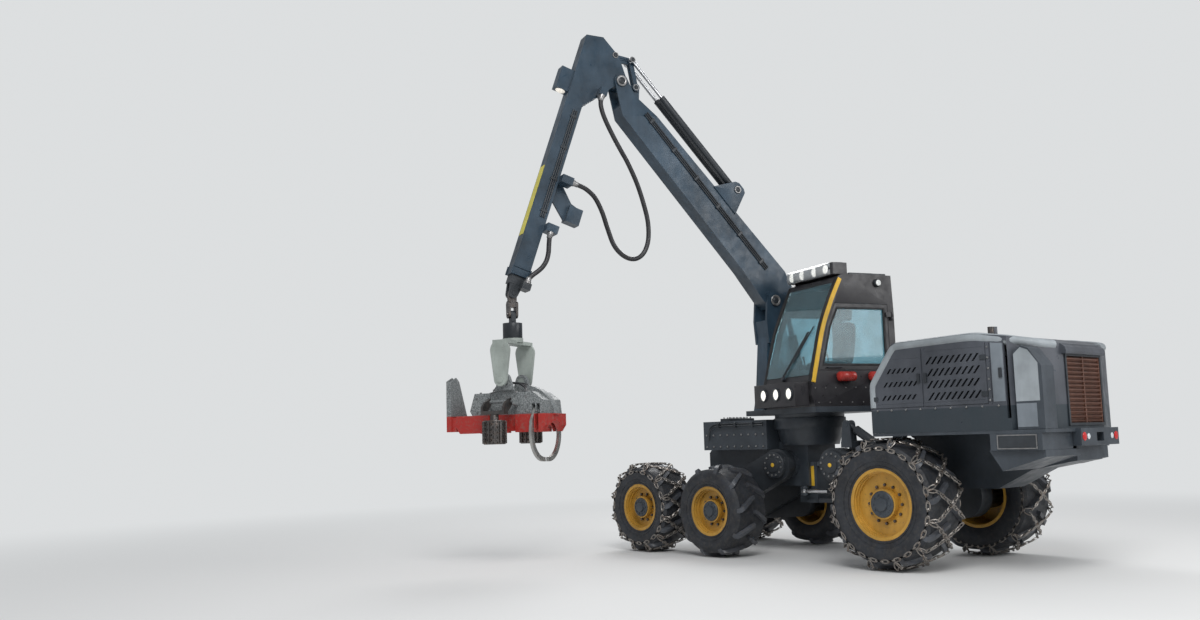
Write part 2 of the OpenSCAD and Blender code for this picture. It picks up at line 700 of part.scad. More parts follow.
module main_boom() {
  color([0.14, 0.2, 0.27]) on_boom() difference() {
    union() {
      side_plate([[-110, 60], [-60, -110], [120, -130], [700, -90], [3760, -72], [boom_l - 60, 120],
        [boom_l - 60, 200], [boom_l - 240, 300], [3400, 395], [200, 500], [-60, 430], [-110, 300]],
        -boom_w / 2, boom_w / 2);
      both_sides() side_bar(knuckle, 110, knuckle - [420, 170], 160, ear_in, boom_w / 2);
      side_bar(rocker_pin, 70, rocker_pin - [150, 260], 150, -22, 22);
      both_sides() side_plate([[1440, 420], [1580, bracket_pin[1] + 70], [1640, bracket_pin[1] + 100],
        [1760, bracket_pin[1] + 100], [1820, bracket_pin[1] + 60], [2000, 420]],
        ear_in + 20, boom_w / 2 + 20);
      side_plate([[1440, 420], [1580, bracket_pin[1] + 70], [1640, bracket_pin[1] + 100],
        [1760, bracket_pin[1] + 100], [1820, bracket_pin[1] + 60], [2000, 420]], -32, 32);
      across(30, -boom_w / 2 - 25, boom_w / 2 + 25, bracket_pin[0], bracket_pin[1]);
      both_sides() side_bar(heel_pin, 80, [0, 150], 160, 100, boom_w / 2);
      both_sides() across(crane_pin_r, ear_in - 2, boom_w / 2 + 12, knuckle[0], knuckle[1]);
      across(crane_pin_r, -58, 58, rocker_pin[0], rocker_pin[1]);
      across(crane_pin_r, -ear_in, ear_in, knuckle[0], knuckle[1]);
    }
    across(crane_pin_r + 20 + fit, -boom_w, boom_w, 0, 0);
    difference() {
      side_bar(knuckle, 165, knuckle + [-70, -330], 210, -ear_in, ear_in);
      across(crane_pin_r, -ear_in, ear_in, knuckle[0], knuckle[1]);
    }
    side_plate([[-420, 60], [-110, 60], [-95, 430], [-420, 480]], -100, 100);
    side_bar([-60, 230], 130, heel_pin, 110, -100, 100);
  }
}

module cylinder_between(p0, p1, r, from, to) {
  way = atan2(p1[1] - p0[1], p1[0] - p0[0]);
  translate([p0[0], 0, p0[1]]) rotate([0, 90 - way, 0]) translate([0, 0, from])
    cylinder(r = r, h = to - from);
}

// Lift cylinder, in the crane's plane, behind the pillar
lift_foot = [-420, 2450];
heel_at = [foot_u + 330 * cos(140 + boom_rest), foot_z + 330 * sin(140 + boom_rest)];

module on_crane() {
  on_turret() translate([0, crane_w, 0]) children();
}

module lift_barrel() {
  color([0.1, 0.12, 0.15]) on_crane() difference() {
    union() {
      cylinder_between(lift_foot, heel_at, 75, 60, 900);
      across(60, -52, 52, lift_foot[0], lift_foot[1]);
    }
    cylinder_between(lift_foot, heel_at, 46, 200, 901);
    across(30 + fit, -60, 60, lift_foot[0], lift_foot[1]);
  }
}

module lift_rod() {
  color([0.8, 0.8, 0.8]) on_crane() difference() {
    union() {
      cylinder_between(lift_foot, heel_at, 45, 600, norm(heel_at - lift_foot) - 30);
      across(55, -50, 50, heel_at[0], heel_at[1]);
    }
    across(30 + 6, -60, 60, heel_at[0], heel_at[1]);
  }
}

module jib_barrels() {
  color([0.1, 0.12, 0.15]) on_boom() both_sides() translate([0, barrel_off, 0]) difference() {
    union() {
      cylinder_between(bracket_pin, rod_pin, 50, 70, 1880);
      cylinder_between(bracket_pin, rod_pin, 40, 0, 80);
      across(50, -48, 48, bracket_pin[0], bracket_pin[1]);
    }
    cylinder_between(bracket_pin, rod_pin, 28 + fit, 300, 1881);
    across(30 + fit, -60, 60, bracket_pin[0], bracket_pin[1]);
  }
}

module jib_rods() {
  rod_end = norm(rod_pin - bracket_pin);
  color([0.8, 0.8, 0.8]) on_boom() both_sides() translate([0, barrel_off, 0]) union() {
    cylinder_between(bracket_pin, rod_pin, 28, rod_end - 1700, rod_end);
    across(50, -28, 26, rod_pin[0], rod_pin[1]);
  }
}

module rocker() {
  color([0.12, 0.15, 0.2]) on_boom() difference() {
    union() {
      both_sides() side_bar(rocker_pin, 33, rod_pin, 33, 27, 57);
      both_sides() across(60, 27, 57, rocker_pin[0], rocker_pin[1]);
      both_sides() across(50, 27, 57, rod_pin[0], rod_pin[1]);
      across(30, -57, 57, rod_pin[0], rod_pin[1]);
    }
    across(crane_pin_r + fit, -boom_w, boom_w, rocker_pin[0], rocker_pin[1]);
  }
}

module link() {
  color([0.12, 0.15, 0.2]) on_boom() difference() {
    side_bar(rod_pin, 55, link_pin, 55, -22, 22);
    across(30 + fit, -30, 30, rod_pin[0], rod_pin[1]);
    across(30 + fit, -30, 30, link_pin[0], link_pin[1]);
  }
}

module on_jib() {
  on_boom() translate([knuckle[0], 0, knuckle[1]]) rotate([0, -jib_rest, 0]) children();
}

hose_brackets = [1862, 2642];
jib_pin_a = rocker_l * [cos(rocker_way - jib_rest), sin(rocker_way - jib_rest)];

module jib() {
  color([0.14, 0.2, 0.27]) on_jib() difference() {
    union() {
      side_plate([[-550, jib_n - 130], [-470, jib_n + jib_h / 2], [jib_l, jib_n + jib_h / 2],
        [jib_l, jib_n - jib_h / 2], [640, jib_n - jib_h / 2]], -jib_w / 2, jib_w / 2);
      both_sides() side_plate([[-550, jib_n - 128], [-370, 140], [-110, -60], [-50, -95], [30, -100],
        [80, -60], [95, 60], [274, 190], [600, jib_n - jib_h / 2 - 30], [642, jib_n - jib_h / 2 + 2],
        [642, jib_n], [-500, jib_n]], 70, 118);
      across(85, -118, 118, 0, 0);
      across(30, -90, 90, jib_pin_a[0], jib_pin_a[1]);
      block(270, 390, 60, 270, 190, 310);
      for (at = hose_brackets) {
        block(at - 60, at + 60, 60, 270, 290, jib_n - jib_h / 2 + 5);
      }
      side_plate([[1780, jib_n - 130], [2100, 150], [2150, -40], [2400, -40], [2400, 180],
        [2150, jib_n - 130]], -20, 20);
      block(2150, 2400, -90, 90, -40, 180);
      block(150, 500, -90, 90, jib_n + 130, jib_n + 340);
    }
    block(300, jib_l + 1, -jib_w / 2 + 22, jib_w / 2 - 22, jib_n - jib_h / 2 + 22, jib_n + jib_h / 2 - 22);
    across(crane_pin_r + fit, -130, 130, 0, 0);
  }
}

module extension() {
  gap = 22 + seat_gap;
  color([0.1, 0.12, 0.14]) on_jib() difference() {
    union() {
      block(1200, tip_s - 130, -jib_w / 2 + gap, jib_w / 2 - gap,
        jib_n - jib_h / 2 + gap, jib_n + jib_h / 2 - gap);
      both_sides() side_bar([tip_s, jib_n], 70, [tip_s - 180, jib_n], 100, 50, 92);
      across(30, -105, 105, tip_s, jib_n);
      block(3540, 3640, 60, 270, 430, 560);
    }
    block(1100, tip_s - 160, -jib_w / 2 + gap + 18, jib_w / 2 - gap - 18, jib_n - jib_h / 2 + gap + 18,
      jib_n + jib_h / 2 - gap - 18);
  }
}

// Head, hung from the tip pin: vertical frame, turned about the rotator
tip_u = foot_u + boom_l * cos(boom_rest) - knuckle_n * sin(boom_rest)
  + tip_s * cos(boom_rest + jib_rest) - jib_n * sin(boom_rest + jib_rest);
tip_z = foot_z + boom_l * sin(boom_rest) + knuckle_n * cos(boom_rest)
  + tip_s * sin(boom_rest + jib_rest) + jib_n * cos(boom_rest + jib_rest);

module on_tip() {
  on_turret() translate([tip_u, crane_w, tip_z]) children();
}

module on_head() {
  on_tip() rotate([0, 0, head_rest - slew_rest]) children();
}

sway_z = -300;
rotator_z = -430;
rotator_z0 = -650;
tilt_z = -1250;
head_top = tilt_z - 180;
head_mid = -1740;
log_z = -2130;
knife_pin = [210, -1700];
roller_pin = [370, -1560];
roller_y = roller_pin[0] + 170;

module cross_link() {
  color([0.2, 0.2, 0.22]) on_tip() difference() {
    union() {
      side_bar([0, 0], 62, [0, -140], 55, -44, 44);
      rotate([0, 0, 90]) both_sides() side_bar([0, sway_z], 60, [0, -170], 66, 40, 72);
      block(-72, 72, -66, 66, -200, -140);
      rotate([0, 0, 90]) across(28, -84, 84, 0, sway_z);
    }
    across(30 + fit, -100, 100, 0, 0);
  }
}

module rotator() {
  color([0.15, 0.15, 0.16]) on_tip() difference() {
    union() {
      rotate([0, 0, 90]) side_bar([0, sway_z], 55, [0, -400], 62, -34, 34);
      translate([0, 0, rotator_z0]) cylinder(r = 140, h = rotator_z - rotator_z0);
    }
    rotate([0, 0, 90]) across(28 + fit, -60, 60, 0, sway_z);
  }
}

module tilt_frame() {
  color([0.5, 0.52, 0.5]) on_head() union() {
    translate([0, 0, rotator_z0 - 60]) cylinder(r = 150, h = 60 - seat_gap);
    block(-110, 110, -400, 400, rotator_z0 - 90, rotator_z0 - 40);
    both_sides() {
      side_bar([0, tilt_z], 95, [0, rotator_z0 - 190], 150, 350, 400);
      across(45, 236, 415, 0, tilt_z);
    }
  }
}

module head_body() {
  color([0.6, 0.1, 0.08]) on_head() {
    difference() {
      union() {
        side_plate([[-520, head_mid - 1], [-560, head_mid + 60], [-480, head_top], [440, head_top],
          [600, head_top - 120], [620, head_mid - 1]], -280, 280);
        side_plate([[-760, head_mid], [-760, -1900], [-700, -1990], [600, -1990], [660, -1900],
          [660, head_mid]], -330, 330);
        both_sides() side_bar([0, tilt_z], 90, [0, head_top - 80], 170, 230, 295);
        intersection() {
          translate([190, 0, -1830]) rotate([90, 0, 0]) difference() {
            translate([0, 0, -75]) cylinder(r = 500, h = 150);
            translate([0, 0, -76]) cylinder(r = 390, h = 152);
          }
          block(250, 720, -75, 75, -1760, -1290);
        }
        for (x = [-905, -840]) {
          side_face([[-350, -1960], [60, -1960], [120, -1800], [-120, -1240], [-200, -1180],
            [-350, -1240]], x, x + 15);
        }
        side_face([[-350, -1960], [-220, -1960], [-220, -1910], [-350, -1910]], -905, -825);
        side_face([[-350, -1960], [-320, -1960], [-320, -1240], [-350, -1240]], -905, -825);
        side_face([[-330, -1760], [60, -1760], [60, -1960], [-330, -1960]], -830, -759);
        both_sides() for (x = [-262, 192]) {
          side_face([[200, -1650], [roller_pin[0] + 36, -1600], [roller_pin[0] + 36, -1520],
            [200, -1470]], x, x + 30);
        }
      }
      across(45 + fit, -400, 400, 0, tilt_z);
      translate([-1000, 0, log_z]) rotate([0, 90, 0]) cylinder(r = 290, h = 1800);
      both_sides() for (x = [430, 500]) {
        block(x, x + 52, 120, 400, -2000, -1600);
      }
      both_sides() block(-230, 190, 240, 400, -2000, -1400);
    }
    both_sides() {
      along(25, 425, 557, knife_pin[0], knife_pin[1]);
      along(22, -262, 222, roller_pin[0], roller_pin[1]);
    }
    along(20, -895, -835, saw_pin[0], saw_pin[1]);
  }
}

// A cylinder along the head, from x0 to x1
module along(r, x0, x1, y, z) {
  translate([x0, y, z]) rotate([0, 90, 0]) cylinder(r = r, h = x1 - x0);
}

// A plate whose outline lies across the head, from x0 to x1
module side_face(points, x0, x1) {
  translate([x0, 0, 0]) rotate([90, 0, 90]) linear_extrude(x1 - x0) polygon(points);
}

module knife(side, x) {
  on_head() mirror([0, side < 0 ? 1 : 0, 0]) translate([x, 0, 0]) rotate([90, 0, 90]) difference() {
    linear_extrude(40) difference() {
      union() {
        bar_outline(knife_pin, 55, [330, -1860], 45);
        intersection() {
          translate([0, -2010]) circle(r = 395);
          polygon([[0, -2010], [500, -1700], [500, -2500], [-30, -2500]]);
        }
      }
      translate([-15, -2010]) circle(r = 335);
    }
    translate([knife_pin[0], knife_pin[1], -10]) cylinder(r = 25 + fit, h = 100);
  }
}

module knife_left() {
  color([0.75, 0.76, 0.75]) knife(1, 506);
}

module knife_right() {
  color([0.75, 0.76, 0.75]) knife(-1, 436);
}

module roller_arm(side) {
  on_head() mirror([0, side < 0 ? 1 : 0, 0]) difference() {
    union() {
      for (x = [-200, 130]) {
        side_face([for (q = [[-30, -40], [0, 50], [150, 0], [230, -80], [230, -160], [90, -140]])
          roller_pin + q], x, x + 30);
      }
      side_face([for (q = [[100, -180], [100, -130], [230, -130], [230, -180]]) roller_pin + q], -200, 160);
    }
    rotate([0, 90, 0]) translate([-roller_pin[1], roller_pin[0], -300]) cylinder(r = 22 + fit, h = 600);
  }
}

module roller_arm_left() {
  color([0.2, 0.2, 0.2]) roller_arm(1);
}

module roller_arm_right() {
  color([0.2, 0.2, 0.2]) roller_arm(-1);
}

module feed_roller(side) {
  on_head() mirror([0, side < 0 ? 1 : 0, 0]) translate([-20, roller_y, -2150]) union() {
    cylinder(r = 150, h = 330);
    cylinder(r = 60, h = 409.7);
    for (k = [0 : 11]) {
      rotate([0, 0, k * 30]) translate([140, -12, 15]) cube([30, 24, 300]);
    }
  }
}

module feed_roller_left() {
  color([0.25, 0.24, 0.23]) feed_roller(1);
}

module feed_roller_right() {
  color([0.25, 0.24, 0.23]) feed_roller(-1);
}

saw_pin = [-260, -1850];

module saw_bar() {
  color([0.7, 0.7, 0.7]) on_head() translate([-870, 0, 0]) rotate([90, 0, 90]) difference() {
    linear_extrude(10) bar_outline(saw_pin, 45, saw_pin + [40, 560], 38);
    translate([saw_pin[0], saw_pin[1], -1]) cylinder(r = 20 + fit, h = 12);
  }
}

steer_rear = [980, 395];
steer_front = [2050, 385];
steer_z = 930;
steer_way = atan2(steer_front[1] - steer_rear[1], steer_front[0] - steer_rear[0]);
steer_len = norm(steer_front - steer_rear);

module at_steer(side) {
  in_row() translate([steer_rear[0], side * steer_rear[1], steer_z])
    rotate([0, 0, side * steer_way]) children();
}

module steer_barrel(side) {
  color([0.12, 0.13, 0.15]) at_steer(side) difference() {
    union() {
      rotate([0, 90, 0]) translate([0, 0, 90]) cylinder(r = 48, h = 540);
      rotate([0, 90, 0]) cylinder(r = 26, h = 100);
      translate([0, 0, -29.7]) cylinder(r = 44, h = 59.4);
    }
    rotate([0, 90, 0]) translate([0, 0, 110]) cylinder(r = 28 + fit, h = 600);
    translate([0, 0, -50]) cylinder(r = 25 + fit, h = 100);
  }
}

module steer_rod(side) {
  color([0.8, 0.8, 0.8]) at_steer(side) union() {
    rotate([0, 90, 0]) translate([0, 0, steer_len - 620]) cylinder(r = 28, h = 600);
    translate([steer_len, 0, -25]) cylinder(r = 45, h = 50);
  }
}

// Hoses: each route is a list of [along, above] in the jib's frame, in a plane beside the crane
hose_r = 35;
hose_off = 225;
function unit(v) = v / norm(v);
function way(path, i) = unit(path[min(i + 1, len(path) - 1)] - path[max(i - 1, 0)]);
function ring(path, i, r, n) = let (t = way(path, i), side = [0, 1, 0], up = cross(side, t))
  [for (k = [0 : n - 1]) path[i] + r * (side * cos(360 * k / n) + up * sin(360 * k / n))];

module hose(route, r) {
  n = 8;
  m = len(route);
  path = [for (q = route) [q[0], hose_off, q[1]]];
  points = [for (i = [0 : m - 1]) each ring(path, i, r, n)];
  sides = [for (i = [0 : m - 2], k = [0 : n - 1])
    [i * n + k, (i + 1) * n + k, (i + 1) * n + (k + 1) % n, i * n + (k + 1) % n]];
  first = [for (k = [0 : n - 1]) k];
  last = [for (k = [n - 1 : -1 : 0]) (m - 1) * n + k];
  polyhedron(points, concat([first], sides, [last]));
}

loop_route = [
  [390.3, 250], [450, 250], [540, 225], [640, 165], [740, 80], [850, -30], [980, -170], [1100, -310],
  [1230, -460], [1460, -680], [1710, -870], [1970, -1030], [2240, -1115], [2460, -1095], [2590, -980],
  [2605, -800], [2510, -610], [2310, -440], [2100, -280], [1940, -110], [1870, 60],
  [1862, 190], [1862, 289.7]];
drop_route = [
  [2702.3, 380], [2762, 380], [2880, 354], [3000, 324], [3120, 318], [3230, 346], [3320, 396], [3390, 446],
  [3460, 484], [3490, 490], [3539.7, 490]];

module hose_loop() {
  color([0.06, 0.06, 0.07]) on_jib() hose(loop_route, hose_r);
}

module hose_drop() {
  color([0.06, 0.06, 0.07]) on_jib() hose(drop_route, hose_r);
}

front_frame();
front_arms();
bogies();
rear_frame();
rear_arms();
engine_block();
hood();
vent_panels();
rear_grille();
side_boxes();
bumper();
turret_base();
crane_pillar();
cab_shell();
cab_glass();
cab_door();
door_glass();
seat();
cab_lamps();
red_bottles();
main_boom();
lift_barrel();
lift_rod();
jib_barrels();
jib_rods();
rocker();
link();
jib();
extension();
hose_loop();
hose_drop();
cross_link();
rotator();
tilt_frame();
head_body();
knife_left();
knife_right();
roller_arm_left();
roller_arm_right();
feed_roller_left();
feed_roller_right();
saw_bar();
steer_barrel(1);  // steer_barrel_left
steer_barrel(-1);  // steer_barrel_right
steer_rod(1);  // steer_rod_left
steer_rod(-1);  // steer_rod_right
rear_tyre(1);  // tyre_rear_left
rear_tyre(-1);  // tyre_rear_right
mid_tyre(1);  // tyre_mid_left
mid_tyre(-1);  // tyre_mid_right
front_tyre(1);  // tyre_front_left
front_tyre(-1);  // tyre_front_right
rear_rim(1);  // rim_rear_left
rear_rim(-1);  // rim_rear_right
mid_rim(1);  // rim_mid_left
mid_rim(-1);  // rim_mid_right
front_rim(1);  // rim_front_left
front_rim(-1);  // rim_front_right
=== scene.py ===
"""A six-wheeled forestry harvester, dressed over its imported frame.

Everything is in metres, drawn in one frame for each main part: the chassis (forward, left, up from the
floor under the rear axle), the turret (forward, left, up from the slewing axis), the boom and the jib
(along, across, above, from their pins), and the felling head (along the log, left, up from the pin at
the jib's tip).
"""

import bmesh
import bpy
import numpy as np
from mathutils import Matrix, Vector


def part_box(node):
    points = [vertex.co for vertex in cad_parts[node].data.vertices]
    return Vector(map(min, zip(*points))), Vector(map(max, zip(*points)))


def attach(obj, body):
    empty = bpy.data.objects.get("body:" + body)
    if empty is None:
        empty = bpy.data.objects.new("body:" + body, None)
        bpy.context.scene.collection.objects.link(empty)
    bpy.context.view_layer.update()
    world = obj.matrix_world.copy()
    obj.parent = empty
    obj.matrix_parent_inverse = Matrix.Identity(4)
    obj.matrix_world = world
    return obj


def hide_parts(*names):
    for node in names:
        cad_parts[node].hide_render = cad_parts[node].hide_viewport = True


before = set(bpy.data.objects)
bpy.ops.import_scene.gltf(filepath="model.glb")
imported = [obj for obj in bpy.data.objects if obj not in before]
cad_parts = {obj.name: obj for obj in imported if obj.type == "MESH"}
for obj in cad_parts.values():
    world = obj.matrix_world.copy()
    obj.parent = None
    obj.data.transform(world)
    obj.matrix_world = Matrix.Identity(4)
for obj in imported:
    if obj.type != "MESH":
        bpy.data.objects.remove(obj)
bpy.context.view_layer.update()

# Drawing frames
AXLE_FLOOR = np.array([-1.4904, -1.6094, 0.0])  # the floor point under the rear axle, in the row frame
SLEW_X = 2.2
SLEW_TURN = np.radians(72)
CRANE_W = -0.75
LEFT, UP = (0, 1, 0), (0, 0, 1)
FOOT = np.array([0.17, 3.87])  # forward and up, of the boom's foot pin
BOOM_TURN = np.radians(49)
KNUCKLE = np.array([4.17, 0.28])
JIB_TURN = np.radians(-71)
TIP = np.array([3.71, 0.6])
HEAD_TURN = np.radians(205)


def local(points):
    return np.asarray(points, float).reshape(-1, 3)


def chassis(points):
    """Shift by the axle's floor point."""
    return local(points) + AXLE_FLOOR


def turret(points):
    """Turn about the upright slewing axis, then shift to it."""
    u, w, z = local(points).T
    c, s = np.cos(SLEW_TURN), np.sin(SLEW_TURN)
    return chassis(np.stack([SLEW_X + u * c - w * s, u * s + w * c, z], 1))


def in_crane_plane(points, turn, pin):
    """Turn (along, across, above) by an angle above level, then shift to a pin [forward, up]."""
    s, w, n = local(points).T
    c, k = np.cos(turn), np.sin(turn)
    return turret(np.stack([pin[0] + s * c - n * k, CRANE_W + w, pin[1] + s * k + n * c], 1))


def rotated(pair, turn):
    c, k = np.cos(turn), np.sin(turn)
    return np.array([pair[0] * c - pair[1] * k, pair[0] * k + pair[1] * c])


KNUCKLE_AT = FOOT + rotated(KNUCKLE, BOOM_TURN)
TIP_AT = KNUCKLE_AT + rotated(TIP, JIB_TURN)


def crane(points):
    return in_crane_plane(points, 0.0, (0.0, 0.0))


def boom(points):
    return in_crane_plane(points, BOOM_TURN, FOOT)


def jib(points):
    return in_crane_plane(points, JIB_TURN, KNUCKLE_AT)


def head(points):
    """Turn about the upright rotator axis under the tip pin, then shift to the pin."""
    x, y, z = local(points).T
    c, s = np.cos(HEAD_TURN), np.sin(HEAD_TURN)
    pin = turret([[TIP_AT[0], CRANE_W, TIP_AT[1]]])[0]
    return np.stack([pin[0] + x * c - y * s, pin[1] + x * s + y * c, pin[2] + z], 1)


DRAWN_IN = {"rear": chassis, "front": chassis, "turret": turret, "door": turret, "boom": boom,
            "rocker": boom, "jib_rods": boom, "jib": jib, "extension": jib, "head": head,
            "feed_roller_left": head, "feed_roller_right": head}


# Surfaces
def angles(count):
    """Angles evenly round a circle."""
    return np.linspace(0, 2 * np.pi, count, endpoint=False)


def unit(v):
    return v / np.linalg.norm(v, axis=-1, keepdims=True)


def net(rows, cols, close_rows=False, close_cols=False):
    """The four-cornered faces of a grid of rows by cols points, optionally joined up at its ends."""
    i = np.arange(rows if close_rows else rows - 1)[:, None]
    j = np.arange(cols if close_cols else cols - 1)[None, :]
    a, b = i * cols + j, i * cols + (j + 1) % cols
    c, d = (i + 1) % rows * cols + (j + 1) % cols, (i + 1) % rows * cols + j
    return np.stack([a, b, c, d], -1).reshape(-1, 4)


def joined(parts):
    """Many (points, faces) parts as one: points stacked, each part's faces counted on from the last."""
    points, faces, start = [], [], 0
    for p, fs in parts:
        points.append(p)
        faces += [f + start for f in fs]
        start += len(p)
    return np.concatenate(points), faces


def bars(points, closed=False):
    """Many bars at once: points[bar, station, corner], joined round their corners, and capped at both ends
    or closed into rings."""
    many, stations, corners = points.shape[:3]
    step = (np.arange(many) * stations * corners)[:, None, None]
    faces = [(net(stations, corners, closed, True) + step).reshape(-1, 4)]
    if not closed:
        k = np.arange(corners)
        faces += [k[None, ::-1] + step[:, 0], k[None] + (stations - 1) * corners + step[:, 0]]
    return points.reshape(-1, 3), faces


def slab(outline, lo, hi):
    """A flat outline [along, up] carried straight across: point = (outline(t), lo + k (hi - lo))."""
    o = np.asarray(outline, float)
    both = [np.stack([o[:, 0], np.full(len(o), y), o[:, 1]], 1) for y in (lo, hi)]
    return bars(np.stack(both)[None])


def rectangle(a, b, c, d):
    """The corners of a rectangle from (a, b) to (c, d)."""
    return [(a, b), (c, b), (c, d), (a, d)]


def block(lo, hi):
    """A straight box between two corners, as a slab of its side outline."""
    return slab(rectangle(lo[0], lo[2], hi[0], hi[2]), lo[1], hi[1])


def blocks(places, half, lo, hi):
    """A box round each place along, reaching half both ways, from lo to hi [across, up]."""
    return [block((at - half, *lo), (at + half, *hi)) for at in places]


def turned(rows, around=48, axis="y", at=(0, 0, 0), reach=1.0):
    """Rows [along, radius] carried round an axis, with reach times radius (cos t, sin t) across it."""
    along, radius = np.asarray(rows, float).T[:, :, None]
    t = angles(around)
    a, b, along = reach * radius * np.cos(t), reach * radius * np.sin(t), along + 0 * t
    order = {"y": (a, along, -b), "z": (a, b, along), "x": (along, a, b)}[axis]
    return bars(np.stack(order, -1)[None] + np.asarray(at, float))


def tube(path, radius, beside, around=12):
    """A round section carried along a path: point = path(s) + radius (cos t e1 + sin t e2), where e1 and
    e2 are across the path and never turn over beside."""
    path = np.asarray(path, float)
    way = unit(np.gradient(path, axis=0))
    e1 = unit(np.cross(way, beside))
    e2 = np.cross(way, e1)
    t = angles(around)[:, None]
    r = np.broadcast_to(radius, len(path))[:, None, None]
    return bars((path[:, None] + r * (e1[:, None] * np.cos(t) + e2[:, None] * np.sin(t)))[None])


def smooth_path(points, count):
    """A smooth curve through a few points: Catmull-Rom cubics, read at evenly spaced lengths."""
    p = np.asarray(points, float)
    p = np.concatenate([2 * p[:1] - p[1:2], p, 2 * p[-1:] - p[-2:-1]])
    t = np.linspace(0, 1, 24, endpoint=False)[None, :, None]
    a, b, c, d = (p[k : len(p) - 3 + k, None] for k in range(4))
    q = 0.5 * (2 * b + (c - a) * t + (2 * a - 5 * b + 4 * c - d) * t**2 + (3 * b - a - 3 * c + d) * t**3)
    q = np.concatenate([q.reshape(-1, p.shape[1]), p[-2:-1]])
    far = np.concatenate([[0], np.cumsum(np.linalg.norm(np.diff(q, axis=0), axis=1))])
    even = np.linspace(0, far[-1], count)
    return np.stack([np.interp(even, far, q[:, k]) for k in range(p.shape[1])], 1)


def studs(centres, way, radius, height, sides=6):
    """Bolt heads at many centres at once: rings of sides points at the foot, the rim and a slightly
    smaller crown, way up from each centre."""
    n = unit(np.asarray(way, float))
    e1 = unit(np.cross(n, [0.31, 0.2, 0.93]))
    t = angles(sides)[:, None]
    out = e1 * np.cos(t) + np.cross(n, e1) * np.sin(t)
    r = radius * np.array([1.0, 1.0, 0.78])[:, None, None]
    h = height * np.array([-0.3, 0.75, 1.0])[:, None, None]
    return bars(local(centres)[:, None, None] + r * out + h * n)


def hoop(rows, around=96):
    """A closed section of [along, radius] rows carried round Y: (radius sin t, along, radius cos t)."""
    along, radius = np.asarray(rows, float).T
    t = angles(around)[:, None]
    return bars(np.stack([radius * np.sin(t), along + 0 * t, radius * np.cos(t)], -1)[None], closed=True)


def border(outline, width, lo, hi):
    """A flat frame between an outline [along, up] and the same outline drawn in by width, from lo to hi."""
    o = np.asarray(outline, float)
    middle, reach = (o.min(0) + o.max(0)) / 2, (o.max(0) - o.min(0)) / 2
    inner = middle + (o - middle) * (1 - width / reach)
    edges = ((o, lo), (o, hi), (inner, hi), (inner, lo))
    ring = [np.stack([q[:, 0], np.full(len(q), y), q[:, 1]], 1) for q, y in edges]
    return bars(np.stack(ring)[None], closed=True)


def strip(path, width, lo, hi):
    """A flat strip beside a path [along, up], width wide on its way's (-up, along) side, from lo to hi."""
    p = np.asarray(path, float)
    way = unit(np.gradient(p, axis=0))
    inner = p + width * np.stack([-way[:, 1], way[:, 0]], 1)
    return slab(np.concatenate([p, inner[::-1]]), lo, hi)


def mirrored(parts):
    """Each part and its mirror image across the machine's middle."""
    return parts + [(p * [1, -1, 1], faces) for p, faces in parts]


def added(name, data):
    """A new object in the scene."""
    obj = bpy.data.objects.new(name, data)
    bpy.context.scene.collection.objects.link(obj)
    return obj


def piece(name, body, parts, finish, edge=0.0, place=None):
    """One finished piece: its parts put in their place, made a mesh, its edges rounded by edge, and set
    on its body."""
    points, faces = joined(parts)
    points = (place or DRAWN_IN[body])(points)
    sizes = np.concatenate([np.full(len(f), f.shape[1]) for f in faces])
    corners = np.concatenate([f.ravel() for f in faces])
    mesh = bpy.data.meshes.new(name)
    mesh.vertices.add(len(points))
    mesh.vertices.foreach_set("co", points.astype(np.float32).ravel())
    mesh.loops.add(len(corners))
    mesh.loops.foreach_set("vertex_index", corners.astype(np.int32))
    mesh.polygons.add(len(sizes))
    mesh.polygons.foreach_set("loop_start", (np.cumsum(sizes) - sizes).astype(np.int32))
    mesh.update(calc_edges=True)
    mesh.validate()
    mesh.polygons.foreach_set("use_smooth", np.ones(len(mesh.polygons), bool))
    outward(mesh)
    mesh.materials.append(finish)
    obj = added(name, mesh)
    if edge:
        rounded(obj, edge)
    else:
        mesh.set_sharp_from_angle(angle=np.radians(38))
    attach(obj, body)
    return obj


def outward(mesh):
    """Turns each closed part's faces to point away from its inside."""
    work = bmesh.new()
    work.from_mesh(mesh)
    bmesh.ops.recalc_face_normals(work, faces=work.faces)
    work.to_mesh(mesh)
    work.free()


def rounded(obj, edge):
    bevel = obj.modifiers.new("rounded_edges", "BEVEL")
    bevel.width = edge
    bevel.segments = 2
    bevel.limit_method = "ANGLE"
    bevel.angle_limit = np.radians(32)
    bevel.harden_normals = True


# Finishes
class Nodes:
    """A node tree, whose nodes are added one by one and wired as they are made."""

    def __init__(self, tree):
        self.tree = tree

    def node(self, kind, output=0, wires=(), **settings):
        """Adds a node, sets it, wires it up by its inputs' names or numbers, and gives one output."""
        n = self.tree.nodes.new("ShaderNode" + kind)
        for key, value in settings.items():
            setattr(n, key, value)
        for key, value in dict(wires).items():
            self.wire(n.inputs[key], value)
        return n.outputs[output]

    def wire(self, socket, value):
        if isinstance(value, bpy.types.NodeSocket):
            self.tree.links.new(value, socket)
        elif socket.type == "RGBA":
            socket.default_value = (*value, 1.0)
        else:
            socket.default_value = value

    def math(self, operation, a, b):
        return self.node("Math", 0, {0: a, 1: b}, operation=operation)

    def times(self, a, b):
        return self.math("MULTIPLY", a, b)

    def ray(self, kind):
        """1 where a ray of this kind looks, and 0 elsewhere."""
        return self.node("LightPath", f"Is {kind} Ray")

    def blend(self, share, first, second, output):
        """Mixes two shaders by share and sends the mixture to the tree's output."""
        mix = self.node("MixShader", 0, {0: share, 1: first, 2: second})
        self.wire(self.tree.nodes[output].inputs[0], mix)


